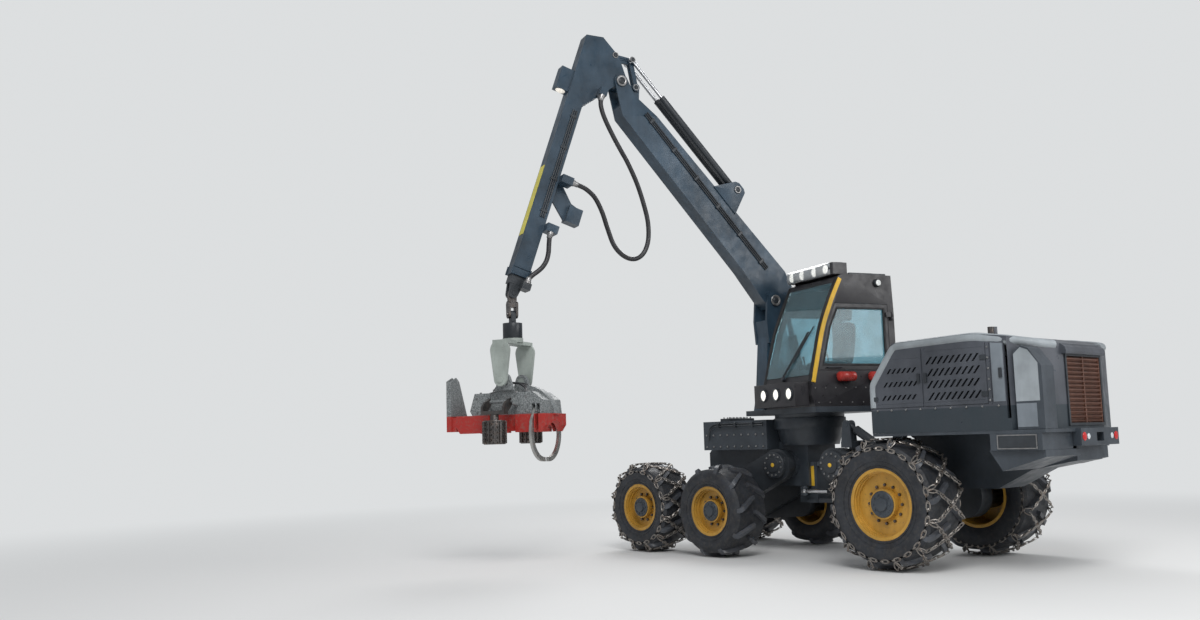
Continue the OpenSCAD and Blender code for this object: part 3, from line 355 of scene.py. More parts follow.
class Finish(Nodes):
    """A material, whose clouds lie on its object's own coordinates."""

    def __init__(self, name):
        self.material = bpy.data.materials.new(name)
        self.material.use_nodes = True
        super().__init__(self.material.node_tree)
        self.skin = self.tree.nodes["Principled BSDF"]
        self.place = self.node("TexCoord", "Object")

    def cloud(self, size, detail, rough=0.6, stretch=None):
        """Noise that varies over about size metres, or over more along an axis that is stretched."""
        place = self.place
        if stretch:
            place = self.node("Mapping", 0, {"Vector": place, "Scale": stretch})
        wires = {"Vector": place, "Scale": 1.0 / size, "Detail": detail, "Roughness": rough}
        return self.node("TexNoise", "Fac", wires)

    def between(self, value, lo, hi, out_lo=0.0, out_hi=1.0):
        """0 below lo, 1 above hi, and even between them."""
        wires = {"Value": value, "From Min": lo, "From Max": hi, "To Min": out_lo, "To Max": out_hi}
        return self.node("MapRange", 0, wires)

    def patches(self, size, detail, lo, hi, out_lo=0.0, out_hi=1.0, **more):
        """Clouds told apart between lo and hi."""
        return self.between(self.cloud(size, detail, **more), lo, hi, out_lo, out_hi)

    def mixed(self, share, a, b):
        return self.node("Mix", 2, {0: share, 6: a, 7: b}, data_type="RGBA")

    def height(self):
        return self.node("SeparateXYZ", "Z", {0: self.place})

    def bumps(self, value, depth):
        bump = self.node("Bump", 0, {"Height": value, "Distance": depth, "Strength": 0.6})
        self.wire(self.skin.inputs["Normal"], bump)

    def done(self, colour, roughness, **fixed):
        for key, value in dict(Base_Color=colour, Roughness=roughness, **fixed).items():
            self.wire(self.skin.inputs[key.replace("_", " ")], value)
        return self.material


def scaled(colour, share):
    return tuple(c * share for c in colour)


MUD = (0.075, 0.058, 0.042)
EARTH = (0.085, 0.068, 0.05)
RUST = (0.12, 0.065, 0.035)


def paint(name, colour, gloss=0.42, mud=0.35, mud_top=2.2, chips=0.1, under=(0.16, 0.15, 0.14), fade=0.35,
          skirt=None):
    """Machine paint: the colour drifts lighter and darker in clouds and in upright rain streaks, mud
    spatter thickens below mud_top metres, and small chips show what lies under. A skirt (height, colour)
    is painted another colour up to that height."""
    f = Finish(name)
    lighter = tuple(c + 0.012 for c in scaled(colour, 1 + fade))
    darker = scaled(colour, 1 - fade * 0.8)
    drift = f.patches(0.7, 4, 0.32, 0.68)
    streaks = f.patches(0.09, 3, 0.35, 0.7, stretch=(1, 1, 0.12))
    shade = f.mixed(drift, darker, lighter)
    if skirt:
        shade = f.mixed(f.between(f.height(), skirt[0] - 0.002, skirt[0] + 0.002), skirt[1], shade)
    shade = f.mixed(f.times(streaks, 0.35), shade, darker)
    low = f.between(f.height(), mud_top, 0.2, 0.12, 1.0)
    spatter = f.times(f.times(f.patches(0.035, 6, 0.62 - 0.1 * mud, 0.7, rough=0.75), low), mud * 1.6)
    shade = f.mixed(f.math("MINIMUM", spatter, 0.9), shade, MUD)
    chipped = f.times(f.patches(0.02, 4, 0.7, 0.72, rough=0.8), chips * 4)
    shade = f.mixed(f.math("MINIMUM", chipped, 1.0), shade, under)
    f.bumps(f.cloud(0.012, 3), 0.0006)
    return f.done(shade, f.patches(0.15, 5, 0.3, 0.7, gloss - 0.1, gloss + 0.16), Metallic=0.0)


def bare_metal(name, colour, gloss=0.35, rust=0.3):
    """Worn metal: bright and dull patches, brown rust in clouds, and a fine drawn grain."""
    f = Finish(name)
    shade = f.mixed(f.patches(0.12, 6, 0.35, 0.65, rough=0.7), scaled(colour, 0.55), colour)
    shade = f.mixed(f.times(f.patches(0.06, 6, 0.5, 0.68, rough=0.7), rust), shade, RUST)
    f.bumps(f.cloud(0.004, 2), 0.0004)
    return f.done(shade, f.patches(0.05, 5, 0.3, 0.7, gloss - 0.1, gloss + 0.2), Metallic=0.85)


def chrome(name):
    """Hard chrome on the rods, with oil film and faint scratches round it."""
    f = Finish(name)
    shade = f.mixed(f.patches(0.05, 4, 0.4, 0.7), (0.62, 0.63, 0.65), (0.45, 0.45, 0.46))
    return f.done(shade, f.patches(0.01, 3, 0.3, 0.7, 0.08, 0.22), Metallic=1.0)


def rubber(name, colour, mud=0.4, grain=0.006, gloss=0.55):
    """Rubber, dull or wiped, with earth in its corners."""
    f = Finish(name)
    shade = f.mixed(f.patches(0.2, 5, 0.35, 0.7), colour, scaled(colour, 2.1))
    shade = f.mixed(f.times(f.patches(0.05, 7, 0.5, 0.64, rough=0.72), mud), shade, EARTH)
    f.bumps(f.cloud(grain, 4), 0.0015)
    return f.done(shade, f.patches(0.08, 4, 0.3, 0.7, gloss, gloss + 0.3))


def glazing(name, tint, clear=0.88, dust=0.08):
    """Tinted safety glass, with a thin film of dust."""
    f = Finish(name)
    shade = f.mixed(f.patches(0.3, 5, 0.35, 0.65), tint, tuple(min(1, c) for c in scaled(tint, 1.25)))
    rough = f.patches(0.2, 5, 0.4, 0.75, 0.01, dust)
    return f.done(shade, rough, Transmission_Weight=clear, IOR=1.45, Alpha=1.0)


def glowing(name, colour, strength):
    """A lit lamp behind ribbed glass: brighter and darker in fine ribs."""
    f = Finish(name)
    shade = f.mixed(f.patches(0.014, 2, 0.35, 0.65, stretch=(1, 1, 0.2)), scaled(colour, 0.55), colour)
    return f.done(shade, 0.12, Emission_Color=shade, Emission_Strength=strength)


def cloth(name, colour):
    """Woven seat cloth: two fine crossing waves of thread."""
    f = Finish(name)
    wave = {"Vector": f.place, "Scale": 120.0, "Distortion": 1.5}
    threads = f.times(*(f.node("TexWave", "Fac", wave, bands_direction=way) for way in "XZ"))
    f.bumps(threads, 0.001)
    return f.done(f.mixed(threads, scaled(colour, 0.6), scaled(colour, 1.5)), 0.9, Sheen_Weight=0.3)


def head_paint(name, grey_from):
    """Grey speckled covers above the head's middle and worn red below it, told apart by height, with one
    soft worn line between."""
    f = Finish(name)
    grey = f.mixed(f.patches(0.018, 5, 0.42, 0.62, rough=0.75), (0.1, 0.11, 0.115), (0.36, 0.38, 0.38))
    worn = f.times(f.patches(0.05, 6, 0.52, 0.66, rough=0.75), 0.55)
    red = f.mixed(worn, (0.42, 0.026, 0.02), (0.22, 0.16, 0.13))
    chips = f.times(f.patches(0.02, 5, 0.66, 0.7, rough=0.8), 0.7)
    red = f.mixed(chips, red, (0.5, 0.46, 0.42))
    above = f.between(f.height(), grey_from - 0.006, grey_from + 0.006)
    f.bumps(f.cloud(0.012, 4), 0.001)
    return f.done(f.mixed(above, red, grey), f.patches(0.07, 4, 0.3, 0.7, 0.35, 0.65))


DARK_UNDER = (0.1, 0.1, 0.1)
SLATE = paint("slate_paint", (0.04, 0.05, 0.062), gloss=0.4, mud=0.5)
CHARCOAL = paint("charcoal_paint", (0.022, 0.027, 0.033), gloss=0.38, mud=0.4)
CAB_BLACK = paint("cab_paint", (0.022, 0.021, 0.024), gloss=0.34, mud=0.15, mud_top=3.0, chips=0.05)
HOOD_GREY = paint("hood_paint", (0.062, 0.069, 0.083), gloss=0.36, mud=0.25, mud_top=2.6, chips=0.12,
                  under=(0.3, 0.3, 0.3), skirt=(2.03, (0.03, 0.042, 0.052)))
PALE_EDGE = paint("pale_hood_edge", (0.29, 0.32, 0.34), mud=0.15, mud_top=2.0, under=DARK_UNDER)
PALE_PANEL = paint("pale_hood_panel", (0.17, 0.195, 0.22), gloss=0.4, mud=0.15, mud_top=2.0,
                   under=DARK_UNDER)
GRILLE_BROWN = paint("grille_paint", (0.16, 0.07, 0.045), gloss=0.6, mud=0.5, mud_top=3.0)
NAVY = paint("crane_paint", (0.02, 0.044, 0.07), gloss=0.36, mud=0.08, chips=0.12, under=(0.2, 0.22, 0.24),
             fade=0.5)
OCHRE = paint("rim_paint", (0.5, 0.27, 0.035), mud=0.55, mud_top=3.0, chips=0.15, under=(0.1, 0.06, 0.03))
PALE_GREEN = paint("tilt_paint", (0.36, 0.4, 0.37), gloss=0.45, mud=0.5, mud_top=6.0, chips=0.8,
                   under=DARK_UNDER)
BOTTLE_RED = paint("bottle_paint", (0.42, 0.03, 0.022), gloss=0.25, mud=0.1, chips=0.05)
YELLOW = paint("yellow_trim", (0.72, 0.44, 0.03), gloss=0.4, mud=0.15, mud_top=3.0, chips=0.3,
               under=(0.3, 0.2, 0.05))
YELLOW_PLATE = paint("yellow_plate", (0.75, 0.66, 0.1), gloss=0.45, mud=0.1, chips=0.2,
                     under=(0.3, 0.3, 0.1), fade=0.15)
CLEAR_LENS = paint("clear_lens", (0.62, 0.66, 0.68), gloss=0.15, mud=0.1, chips=0.02)
TAIL_RED = paint("tail_lamp", (0.5, 0.01, 0.01), gloss=0.15, mud=0.1)
HEAD_PAINT = head_paint("head_two_colours", TIP_AT[1] - 1.74)
ROD_CHROME = chrome("rod_chrome")
WORN_STEEL = bare_metal("worn_steel", (0.16, 0.15, 0.145), rust=0.5)
KNIFE_STEEL = bare_metal("knife_steel", (0.55, 0.55, 0.53), gloss=0.4, rust=0.25)
CHAIN_STEEL = bare_metal("chain_steel", (0.42, 0.39, 0.36), gloss=0.38, rust=0.8)
BOLT_ZINC = bare_metal("bolt_zinc", (0.4, 0.4, 0.4))
ENGINE_IRON = bare_metal("engine_iron", (0.12, 0.12, 0.12), gloss=0.6, rust=0.4)
TYRE = rubber("tyre_rubber", (0.015, 0.017, 0.021), mud=0.3, gloss=0.42)
# The lugs' rubber is painted about three times lighter than the casing's: a painted highlight on the lugs,
# in place of light catching their faces
LUG_HIGHLIGHT_RUBBER = rubber("tread_rubber_painted_highlight", (0.042, 0.046, 0.054), gloss=0.26)
HOSE = rubber("hose_rubber", (0.014, 0.014, 0.016), mud=0.08, grain=0.003, gloss=0.22)
SEAL = rubber("window_seal", (0.012, 0.012, 0.013), mud=0.05)
GLASS = glazing("cab_glass", (0.36, 0.55, 0.61))
LAMP_COVER = glazing("lamp_cover", (0.78, 0.83, 0.86), clear=0.6, dust=0.25)
LAMP_LIT = glowing("lit_lamp", (1.0, 0.97, 0.9), 1.15)
SIDE_LIT = glowing("side_lamp", (0.8, 0.82, 0.8), 0.25)
JIB_LIT = glowing("jib_lamp", (1.0, 0.94, 0.84), 0.7)
SEAT_CLOTH = cloth("seat_cloth", (0.045, 0.045, 0.05))

NODE_FINISHES = [
    (SLATE, "front_frame rear_frame side_boxes bumper turret_base"),
    (CHARCOAL, "front_arms bogies rear_arms lift_barrel jib_barrels extension rotator steer_barrel"),
    (HOOD_GREY, "hood vent_panels"), (GRILLE_BROWN, "rear_grille"), (ENGINE_IRON, "engine_block"),
    (CAB_BLACK, "cab_shell cab_door cab_lamps"), (GLASS, "cab_glass door_glass"), (SEAT_CLOTH, "seat"),
    (BOTTLE_RED, "red_bottles"), (NAVY, "crane_pillar main_boom rocker link jib"),
    (ROD_CHROME, "lift_rod jib_rods steer_rod"), (HOSE, "hose_loop hose_drop"), (TYRE, "tyre"),
    (OCHRE, "rim"), (WORN_STEEL, "cross_link roller_arm feed_roller"), (PALE_GREEN, "tilt_frame"),
    (HEAD_PAINT, "head_body"), (KNIFE_STEEL, "knife saw_bar"),
]
NODE_FINISH = {kind: finish for finish, kinds in NODE_FINISHES for kind in kinds.split()}
KEPT_SHARP = ("tyre", "rim", "cab_glass", "door_glass", "hose_loop", "hose_drop", "knife")
for name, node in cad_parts.items():
    kind = name
    for end in ("_left", "_right", "_rear", "_mid", "_front"):
        kind = kind.removesuffix(end)
    node.data.materials.clear()
    node.data.materials.append(NODE_FINISH[kind])
    if kind not in KEPT_SHARP:
        weld = node.modifiers.new("weld", "WELD")
        weld.merge_threshold = 0.00005
        rounded(node, 0.004)


# Camera, floor and light
FOCAL = 33.0
CAMERA_AT = chassis([[-8.36, 13.45, 1.75]])[0]
HEADING, PITCH, ROLL = np.radians([-41.29, 6.77, -1.61])
HAZE, HAZE_STRENGTH = (0.9, 0.92, 0.93), 0.8  # what the camera sees behind the part
HAZE_REACH = (6.0, 20.0)  # metres from the machine over which the floor fades into it
FLOOR_REACH = 60.0


def aim(heading, pitch, roll):
    """The camera's right, up and back directions, from its heading, its pitch and its roll."""
    ahead = np.array([np.cos(heading) * np.cos(pitch), np.sin(heading) * np.cos(pitch), np.sin(pitch)])
    right = unit(np.cross(ahead, [0, 0, 1]))
    up = np.cross(right, ahead)
    c, s = np.cos(roll), np.sin(roll)
    return np.stack([c * right + s * up, c * up - s * right, -ahead], 1)


def set_camera():
    lens = bpy.data.cameras.new("camera")
    lens.lens = FOCAL
    lens.sensor_width = 36.0
    lens.clip_end = 200
    camera = added("camera", lens)
    camera.matrix_world = Matrix.Translation(CAMERA_AT) @ Matrix(aim(HEADING, PITCH, ROLL)).to_4x4()
    bpy.context.scene.camera = camera


def set_floor():
    """A wide pale floor, which the camera sees fade into the background far from the machine."""
    mesh = bpy.data.meshes.new("floor")
    mesh.from_pydata([(x * FLOOR_REACH, y * FLOOR_REACH, 0) for x, y in rectangle(-1, -1, 1, 1)], [],
                     [(0, 1, 2, 3)])
    f = Finish("pale_floor")
    mesh.materials.append(f.done((0.8, 0.8, 0.79), 0.9))
    away = f.node("VectorMath", "Value", {0: f.node("NewGeometry", "Position")}, operation="LENGTH")
    far = f.node("MapRange", 0, {"Value": away, "From Min": HAZE_REACH[0], "From Max": HAZE_REACH[1]},
                 interpolation_type="SMOOTHSTEP")
    haze = f.node("Emission", 0, {"Color": HAZE, "Strength": HAZE_STRENGTH})
    f.blend(f.times(far, f.ray("Camera")), f.skin.outputs[0], haze, "Material Output")
    added("floor", mesh)


def area_light(name, at, towards, size, power):
    data = bpy.data.lights.new(name, "AREA")
    data.shape = "RECTANGLE"
    data.size = data.size_y = size
    data.energy = power
    lamp = added(name, data)
    lamp.location = at
    lamp.rotation_euler = (Vector(towards) - Vector(at)).to_track_quat("-Z", "Y").to_euler()


def set_light():
    """A cool sky and three area lights light the part; the camera and the glass see the haze."""
    world = bpy.data.worlds.new("studio")
    bpy.context.scene.world = world
    world.use_nodes = True
    n = Nodes(world.node_tree)
    sky = n.node("Background", 0, {"Color": (0.93, 0.96, 1.0), "Strength": 0.42})
    haze = n.node("Background", 0, {"Color": HAZE, "Strength": HAZE_STRENGTH})
    n.blend(n.math("MAXIMUM", n.ray("Camera"), n.ray("Transmission")), sky, haze, "World Output")
    area_light("key", (-9, 9, 14), (0, 0, 2.5), 8, 1500)
    area_light("fill", (-12, -4, 7), (0, 0, 2), 7, 500)
    area_light("back", (10, -8, 12), (0, 0, 3), 8, 900)


set_camera()
set_floor()
set_light()
view = bpy.context.scene.view_settings
view.view_transform = "Standard"

# Wheels: tyres with deep lugs, steel link chains over them, and the hubs' bolts and caps
SHOULDER_DROP = 0.055  # of the casing's tread under the lugs' tops
LUG_DEPTH, LUG_LEAN = 0.065, 0.3
LUG_STATIONS = np.array([  # across the tyre as a share of its width, down from the top, width share
    (-0.02, 0.0, 0.8), (0.08, 0.0, 0.9), (0.18, 0.0, 0.95), (0.28, 0.002, 1.0), (0.36, 0.008, 1.08),
    (0.42, 0.022, 1.18), (0.462, 0.06, 1.2), (0.478, 0.115, 1.05), (0.482, 0.165, 0.8)])
LINK_LENGTH, LINK_BREADTH, LINK_WIRE, LINK_PITCH = 0.058, 0.023, 0.0088, 0.088
DISH_DEPTH, DISH_TAPER = 0.12, 0.032


def on_wheel(tyre):
    """Shift to a tyre's middle, with the outer side turned away from the machine."""
    lo, hi = (np.array(corner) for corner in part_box(tyre))
    side = 1 if "left" in tyre else -1
    return lambda points: (lo + hi) / 2 + local(points) * [1, side, 1]


def tyre_wall(radius, width, bead):
    """The tyre's closed section: bulging walls, a nearly flat tread and a straight inner side."""
    tread = radius - SHOULDER_DROP
    rise = tread - bead
    half = [(0.43, bead), (0.455, bead + 0.12 * rise), (0.49, bead + 0.34 * rise), (0.5, bead + 0.52 * rise),
            (0.49, bead + 0.72 * rise), (0.462, tread - 0.045), (0.42, tread - 0.012), (0.22, tread),
            (0.0, tread + 0.003)]
    out = [(width * y, r) for y, r in half]
    back = [(-y, r) for y, r in out[-2::-1]]
    return hoop(out + back + [(-width * 0.4, bead - 0.004), (width * 0.4, bead - 0.004)])


def wall_ribs(radius, width, bead):
    """Two fine hoops moulded on the tyre's outer wall."""
    rise = radius - SHOULDER_DROP - bead
    return [hoop([(width * y + out, bead + (up + step) * rise)
                  for out, step in ((0, 0), (0.012, 0.01), (0.012, 0.03), (0, 0.04))])
            for y, up in ((0.444, 0.07), (0.47, 0.26))]


def tyre_lugs(radius, width, count, lug_width):
    """Slanted lugs: stations run from the middle to the shoulder and down the wall, leaning back by
    LUG_LEAN of the width; each section is a trapezium LUG_DEPTH deep, narrower at the top."""
    y, down, wide = (LUG_STATIONS[:, k] for k in range(3))
    lean = np.clip(y / 0.47, 0, 1) * -LUG_LEAN * width
    over = np.array([-0.62, -0.42, 0.42, 0.62])
    deep = LUG_DEPTH * np.array([1.0, 0.0, 0.0, 1.0])
    turn = np.clip((down - 0.01) / 0.07, 0, 1)[:, None] * np.pi / 2
    across_by = width * y[:, None] - deep * np.sin(turn)
    r = radius - down[:, None] - deep * np.cos(turn)
    x = lean[:, None] + lug_width * wide[:, None] * over
    both = []
    for side in (0, 1):
        a = (np.arange(count) + side / 2)[:, None, None] * 2 * np.pi / count + x / radius
        flat = np.broadcast_to(across_by * (1 - 2 * side), a.shape)
        both.append(np.stack([r * np.sin(a), flat, r * np.cos(a)], -1))
    return bars(np.concatenate(both))


def links_along(path, limit):
    """Chain links at the middles of a path's steps, each a long ring of wire, lying flat and standing by
    turns; nothing reaches past limit from the wheel's axis."""
    middle = (path[1:] + path[:-1]) / 2
    way = unit(np.diff(path, axis=0))
    beside = unit(np.cross(way, middle * [1, 0, 1]))
    turn = 1.2 * ((np.arange(len(middle)) % 2)[:, None] * 0.9 + 0.1)
    flat = beside * np.cos(turn) + np.cross(beside, way) * np.sin(turn)
    u, v = angles(10)[None, :, None, None], angles(4)[None, None, :, None]
    way, flat, middle = (q[:, None, None] for q in (way, flat, middle))
    rim = way * LINK_LENGTH * np.cos(u) + flat * LINK_BREADTH * np.sin(u)
    edge = unit(way * LINK_BREADTH * np.cos(u) + flat * LINK_LENGTH * np.sin(u))
    p = middle + rim + LINK_WIRE * (edge * np.cos(v) + np.cross(way, flat) * np.sin(v))
    reach = np.linalg.norm(p[..., [0, 2]], axis=-1, keepdims=True)
    return p * np.where([True, False, True], np.minimum(1, limit / reach), 1)


def chain(radius, width, straps):
    """A tyre chain: two zigzags that cross on the tread, from shoulder to shoulder, and a hoop of links
    round each wall."""
    limit = radius + 0.0175
    links = []
    for way in (1, -1):
        for i in range(straps):
            lean = way * (1 if i % 2 == 0 else -1)
            k = np.linspace(-1, 1, 12)
            y = lean * k * width * 0.478
            a = (i + k / 2) * 2 * np.pi / straps
            r = radius + 0.008 - 0.105 * np.clip((np.abs(y) / width - 0.4) / 0.078, 0, 1) ** 1.6
            links.append(links_along(np.stack([r * np.sin(a), y, r * np.cos(a)], 1), limit))
    reach = radius - 0.115
    a = np.linspace(0, 2 * np.pi, int(2 * np.pi * reach / LINK_PITCH) + 1)
    for side in (1, -1):
        path = np.stack([reach * np.sin(a), 0 * a + side * width * 0.482, reach * np.cos(a)], 1)
        links.append(links_along(path, limit))
    p = np.concatenate(links)
    drawn_in = np.minimum(1, width * 0.498 / np.maximum(np.abs(p[..., 1:2]), 1e-6))
    return bars(p * np.where([False, True, False], drawn_in, 1), closed=True)


def ring_of(count, reach, y, start=0.0):
    """Points evenly round a circle that faces along Y: (reach cos t, y, reach sin t)."""
    t = angles(count) + start
    return np.stack([reach * np.cos(t), 0 * t + y, reach * np.sin(t)], 1)


def hub_parts(face, reach, bolts, bolt_circle, bolt_face):
    """The hub's flat cap with its raised middle and bolts, outward along Y from face."""
    cap = turned([(-0.01, 1), (0.012, 1), (0.022, 0.93), (0.022, 0.55), (0.045, 0.5), (0.05, 0.42)], 40,
                 at=(0, face, 0), reach=reach)
    small = studs(ring_of(10, reach * 0.75, face + 0.022), LEFT, 0.013, 0.012)
    return cap, small, studs(ring_of(bolts, bolt_circle, bolt_face), LEFT, 0.021, 0.035)


def rim_steps(face, reach):
    """Three raised hoops on the rim's dish, whose wall narrows by DISH_TAPER over its DISH_DEPTH."""
    steps = []
    for depth, rise in ((0.008, 0.008), (0.045, 0.01), (0.085, 0.012)):
        wall = reach - 0.03 - depth / DISH_DEPTH * DISH_TAPER
        y = face - depth
        steps.append(hoop([(y - 0.009, wall + 0.004), (y - 0.006, wall - rise), (y + 0.005, wall - rise),
                           (y + 0.008, wall + 0.004)]))
    return steps


WHEEL_KINDS = {  # tyre radius, width, bead radius, chained, hub reach, wheel nuts, their circle
    "rear": (0.825, 0.71, 0.457, True, 0.17, 12, 0.245),
    "mid": (0.6725, 0.65, 0.361, False, 0.145, 10, 0.205),
    "front": (0.6725, 0.65, 0.361, True, 0.145, 10, 0.205)}
LUGS_A_SIDE, LUG_WIDTH, CHAIN_STRAPS = 10, 0.075, 12
RIM_SHARE, WEB_DEPTH, WEB_FACE, HUB_LENGTH = 0.43, 0.17, 0.04, 0.13
for kind, (radius, width, bead, chained, hub_reach, nuts, nut_circle) in WHEEL_KINDS.items():
    for side in ("left", "right"):
        node, body = f"tyre_{kind}_{side}", f"wheel_{kind}_{side}"
        web = width * RIM_SHARE - WEB_DEPTH
        cap, small, wheel_nuts = hub_parts(web + HUB_LENGTH, hub_reach, nuts, nut_circle, web + WEB_FACE)
        wheel = {
            "tyre_casing": ([tyre_wall(radius, width, bead), *wall_ribs(radius, width, bead)], TYRE),
            # the lugs take the lighter rubber: a painted highlight against the darker casing
            "tread_lugs": ([tyre_lugs(radius, width * 0.98, LUGS_A_SIDE, LUG_WIDTH)], LUG_HIGHLIGHT_RUBBER),
            "chain": ([chain(radius, width, CHAIN_STRAPS)] if chained else [], CHAIN_STEEL),
            "hub_cap": ([cap, small], SLATE),
            "wheel_nuts": ([wheel_nuts], WORN_STEEL),
            "rim_steps": (rim_steps(width * RIM_SHARE, bead), OCHRE)}
        made = {name: piece(f"{name}_{kind}_{side}", body, parts, finish, place=on_wheel(node))
                for name, (parts, finish) in wheel.items() if parts}
        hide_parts(node)

# Rear half: the hood's edges, pale panels, bolts, latches and exhaust, and the tail's grille and lamps
HOOD_HALF = 1.25
HOOD_RAIL = [(0.165, 1.205, 2.07), (0.165, 1.205, 2.2), (0.162, 1.205, 2.34), (0.135, 1.205, 2.405),
             (-0.02, 1.205, 2.62), (-0.15, 1.205, 2.795), (-0.215, 1.205, 2.842), (-0.35, 1.205, 2.85),
             (-0.8, 1.205, 2.862), (-1.27, 1.205, 2.872), (-1.52, 1.2, 2.84), (-1.7, 1.185, 2.812),
             (-1.8, 1.09, 2.79), (-1.865, 0.96, 2.775), (-1.93, 0.76, 2.76), (-1.98, 0.58, 2.75)]
rail = tube(smooth_path(HOOD_RAIL, 140), 0.062, (0.2, 0.3, 0.93), 16)
piece("hood_rails", "rear", mirrored([rail]), PALE_EDGE)
PANEL = [(-1.54, 2.08), (-1.54, 2.79), (-1.695, 2.77), (-1.695, 2.08)]
panels = mirrored([slab(PANEL, HOOD_HALF - 0.002, HOOD_HALF + 0.005)])
piece("pale_side_panels", "rear", panels, PALE_PANEL, edge=0.003)
AIR_BOX = [(-1.812, 2.07), (-1.812, 2.63), (-1.9, 2.705), (-1.99, 2.67), (-2.105, 2.51), (-2.105, 2.07)]
piece("air_box_faces", "rear", [slab(AIR_BOX, 1.223, 1.23)], PALE_EDGE, edge=0.003)
air_box_step = block((-2.06, 1.223, 1.77), (-1.812, 1.228, 2.045))
piece("air_box_steps", "rear", [air_box_step], PALE_PANEL, edge=0.003)
hood_bolts = [(-1.497, HOOD_HALF, z) for z in np.linspace(2.1, 2.74, 6)]
hood_bolts += [(x, HOOD_HALF, 2.03) for x in np.linspace(0.1, -1.6, 9)]
piece("hood_bolts", "rear", mirrored([studs(hood_bolts, LEFT, 0.014, 0.012)]), BOLT_ZINC)
latches = blocks((-0.535, -0.635, -1.65), 0.02, (HOOD_HALF - 0.002, 2.36), (HOOD_HALF + 0.022, 2.48))
for x, z in (-1.435, 2.18), (-1.435, 2.62), (0.13, 2.18):
    latches += blocks([x], 0.045, (HOOD_HALF - 0.002, z - 0.03), (HOOD_HALF + 0.012, z + 0.03))
piece("hood_latches", "rear", mirrored(latches), CHARCOAL, edge=0.005)
EXHAUST = [(2.8, 0.046), (2.84, 0.046), (2.85, 0.036), (2.985, 0.036), (2.985, 0.031), (2.9, 0.03)]
piece("exhaust_stack", "rear", [turned(EXHAUST, 28, "z", (-1.51, 1.155, 0))], WORN_STEEL)
GRILLE_BACK, GRILLE_HALF, GRILLE_LOW, GRILLE_HIGH, GRILLE_RIM = -2.06, 0.44, 1.8, 2.62, 0.03
LAMP_Z, BUMPER_FACE = 1.64, 0.15


def facing_back(points):
    """A flat piece drawn in [across, depth, up], stood across the tail: depth runs backwards from the
    grille's face."""
    a, d, z = local(points).T
    return chassis(np.stack([GRILLE_BACK - d, a, z], 1))


def on_tail(name, parts, finish, edge=0.0):
    piece(name, "rear", parts, finish, edge=edge, place=facing_back)


def tail_lamps(name, y, rows, around, finish):
    """A pair of round lenses on the bumper's face."""
    on_tail(name, [turned(rows, around, "y", (at, BUMPER_FACE, LAMP_Z)) for at in (y, -y)], finish)


surround = rectangle(-GRILLE_HALF - GRILLE_RIM, GRILLE_LOW - GRILLE_RIM, GRILLE_HALF + GRILLE_RIM,
                     GRILLE_HIGH + GRILLE_RIM)
on_tail("grille_surround", [border(surround, 0.035, 0, 0.014)], CHARCOAL, 0.004)
wires = [block((-GRILLE_HALF, -0.022, z - 0.002), (GRILLE_HALF, -0.018, z + 0.002))
         for z in np.linspace(GRILLE_LOW + 0.02, GRILLE_HIGH - 0.02, 44)]
wires += blocks(np.linspace(-GRILLE_HALF + 0.02, GRILLE_HALF - 0.02, 40), 0.002, (-0.024, GRILLE_LOW),
                (-0.02, GRILLE_HIGH))
on_tail("grille_mesh", wires, GRILLE_BROWN)
radiator = block((-GRILLE_HALF, -0.12, GRILLE_LOW), (GRILLE_HALF, -0.07, GRILLE_HIGH))
on_tail("radiator_core", [radiator], CHARCOAL, 0.003)
RED_LENS = [(-0.004, 0.052), (0.005, 0.052), (0.009, 0.044), (0.01, 0.02)]
WHITE_LENS = [(-0.004, 0.036), (0.004, 0.036), (0.008, 0.03), (0.009, 0.012)]
tail_lamps("tail_lamps", 0.42, RED_LENS, 28, TAIL_RED)
tail_lamps("reverse_lamps", 0.31, WHITE_LENS, 24, CLEAR_LENS)
piece("blank_side_plate", "rear", [block((-2.03, 1.244, 1.53), (-1.56, 1.252, 1.67))], CHARCOAL, edge=0.003)
plate_rim = border(rectangle(-2.045, 1.515, -1.545, 1.685), 0.014, 1.244, 1.256)
piece("blank_plate_rim", "rear", [plate_rim], BOLT_ZINC, edge=0.002)


# Pivot covers with their bolts and grease points, on both halves
def pivot_cover(x, y, z, reach, bolts):
    """A stepped round cover facing outward, a ring of bolts on it and a raised middle."""
    cover = turned([(-0.012, 1), (0.014, 1), (0.02, 0.96), (0.02, 0.6), (0.034, 0.56), (0.036, 0.2)],
                   at=(x, y, z), reach=reach)
    bolt_ring = studs(ring_of(bolts, reach * 0.8, y + 0.02, 0.2) + [x, 0, z], LEFT, 0.016, 0.016)
    grease = turned([(0.03, 0.03), (0.042, 0.03), (0.045, 0.024)], 18, "y", (x, y, z))
    return cover, bolt_ring, grease


BOGIE_Z = 0.68165
COVERS = {"rear": [(1.24, 0.79, 1.32, 0.2, 12)],
          "front": [(2.35, 0.7, 1.32, 0.19, 12), (3.75, 0.812, BOGIE_Z, 0.19, 10)]}
for body, places in COVERS.items():
    covers, bolt_rings, greases = zip(*(pivot_cover(*at) for at in places))
    piece(f"pivot_covers_{body}", body, mirrored([*covers]), CHARCOAL)
    piece(f"pivot_bolts_{body}", body, mirrored([*bolt_rings]), BOLT_ZINC)
    piece(f"grease_caps_{body}", body, mirrored([*greases]), YELLOW)

# Front deck: pipes with clamps, bolts, a valve block and the yellow marks by the joint
DECK_PIPE = [(2.62, 1.95), (3.0, 1.95), (3.5, 1.95), (3.62, 1.94), (3.7, 1.89), (3.73, 1.81), (3.73, 1.72)]


def beside(route, w, count):
    """A smooth path through a flat route [along, above], at w across."""
    flat = smooth_path(route, count)
    return np.stack([flat[:, 0], 0 * flat[:, 0] + w, flat[:, 1]], 1)


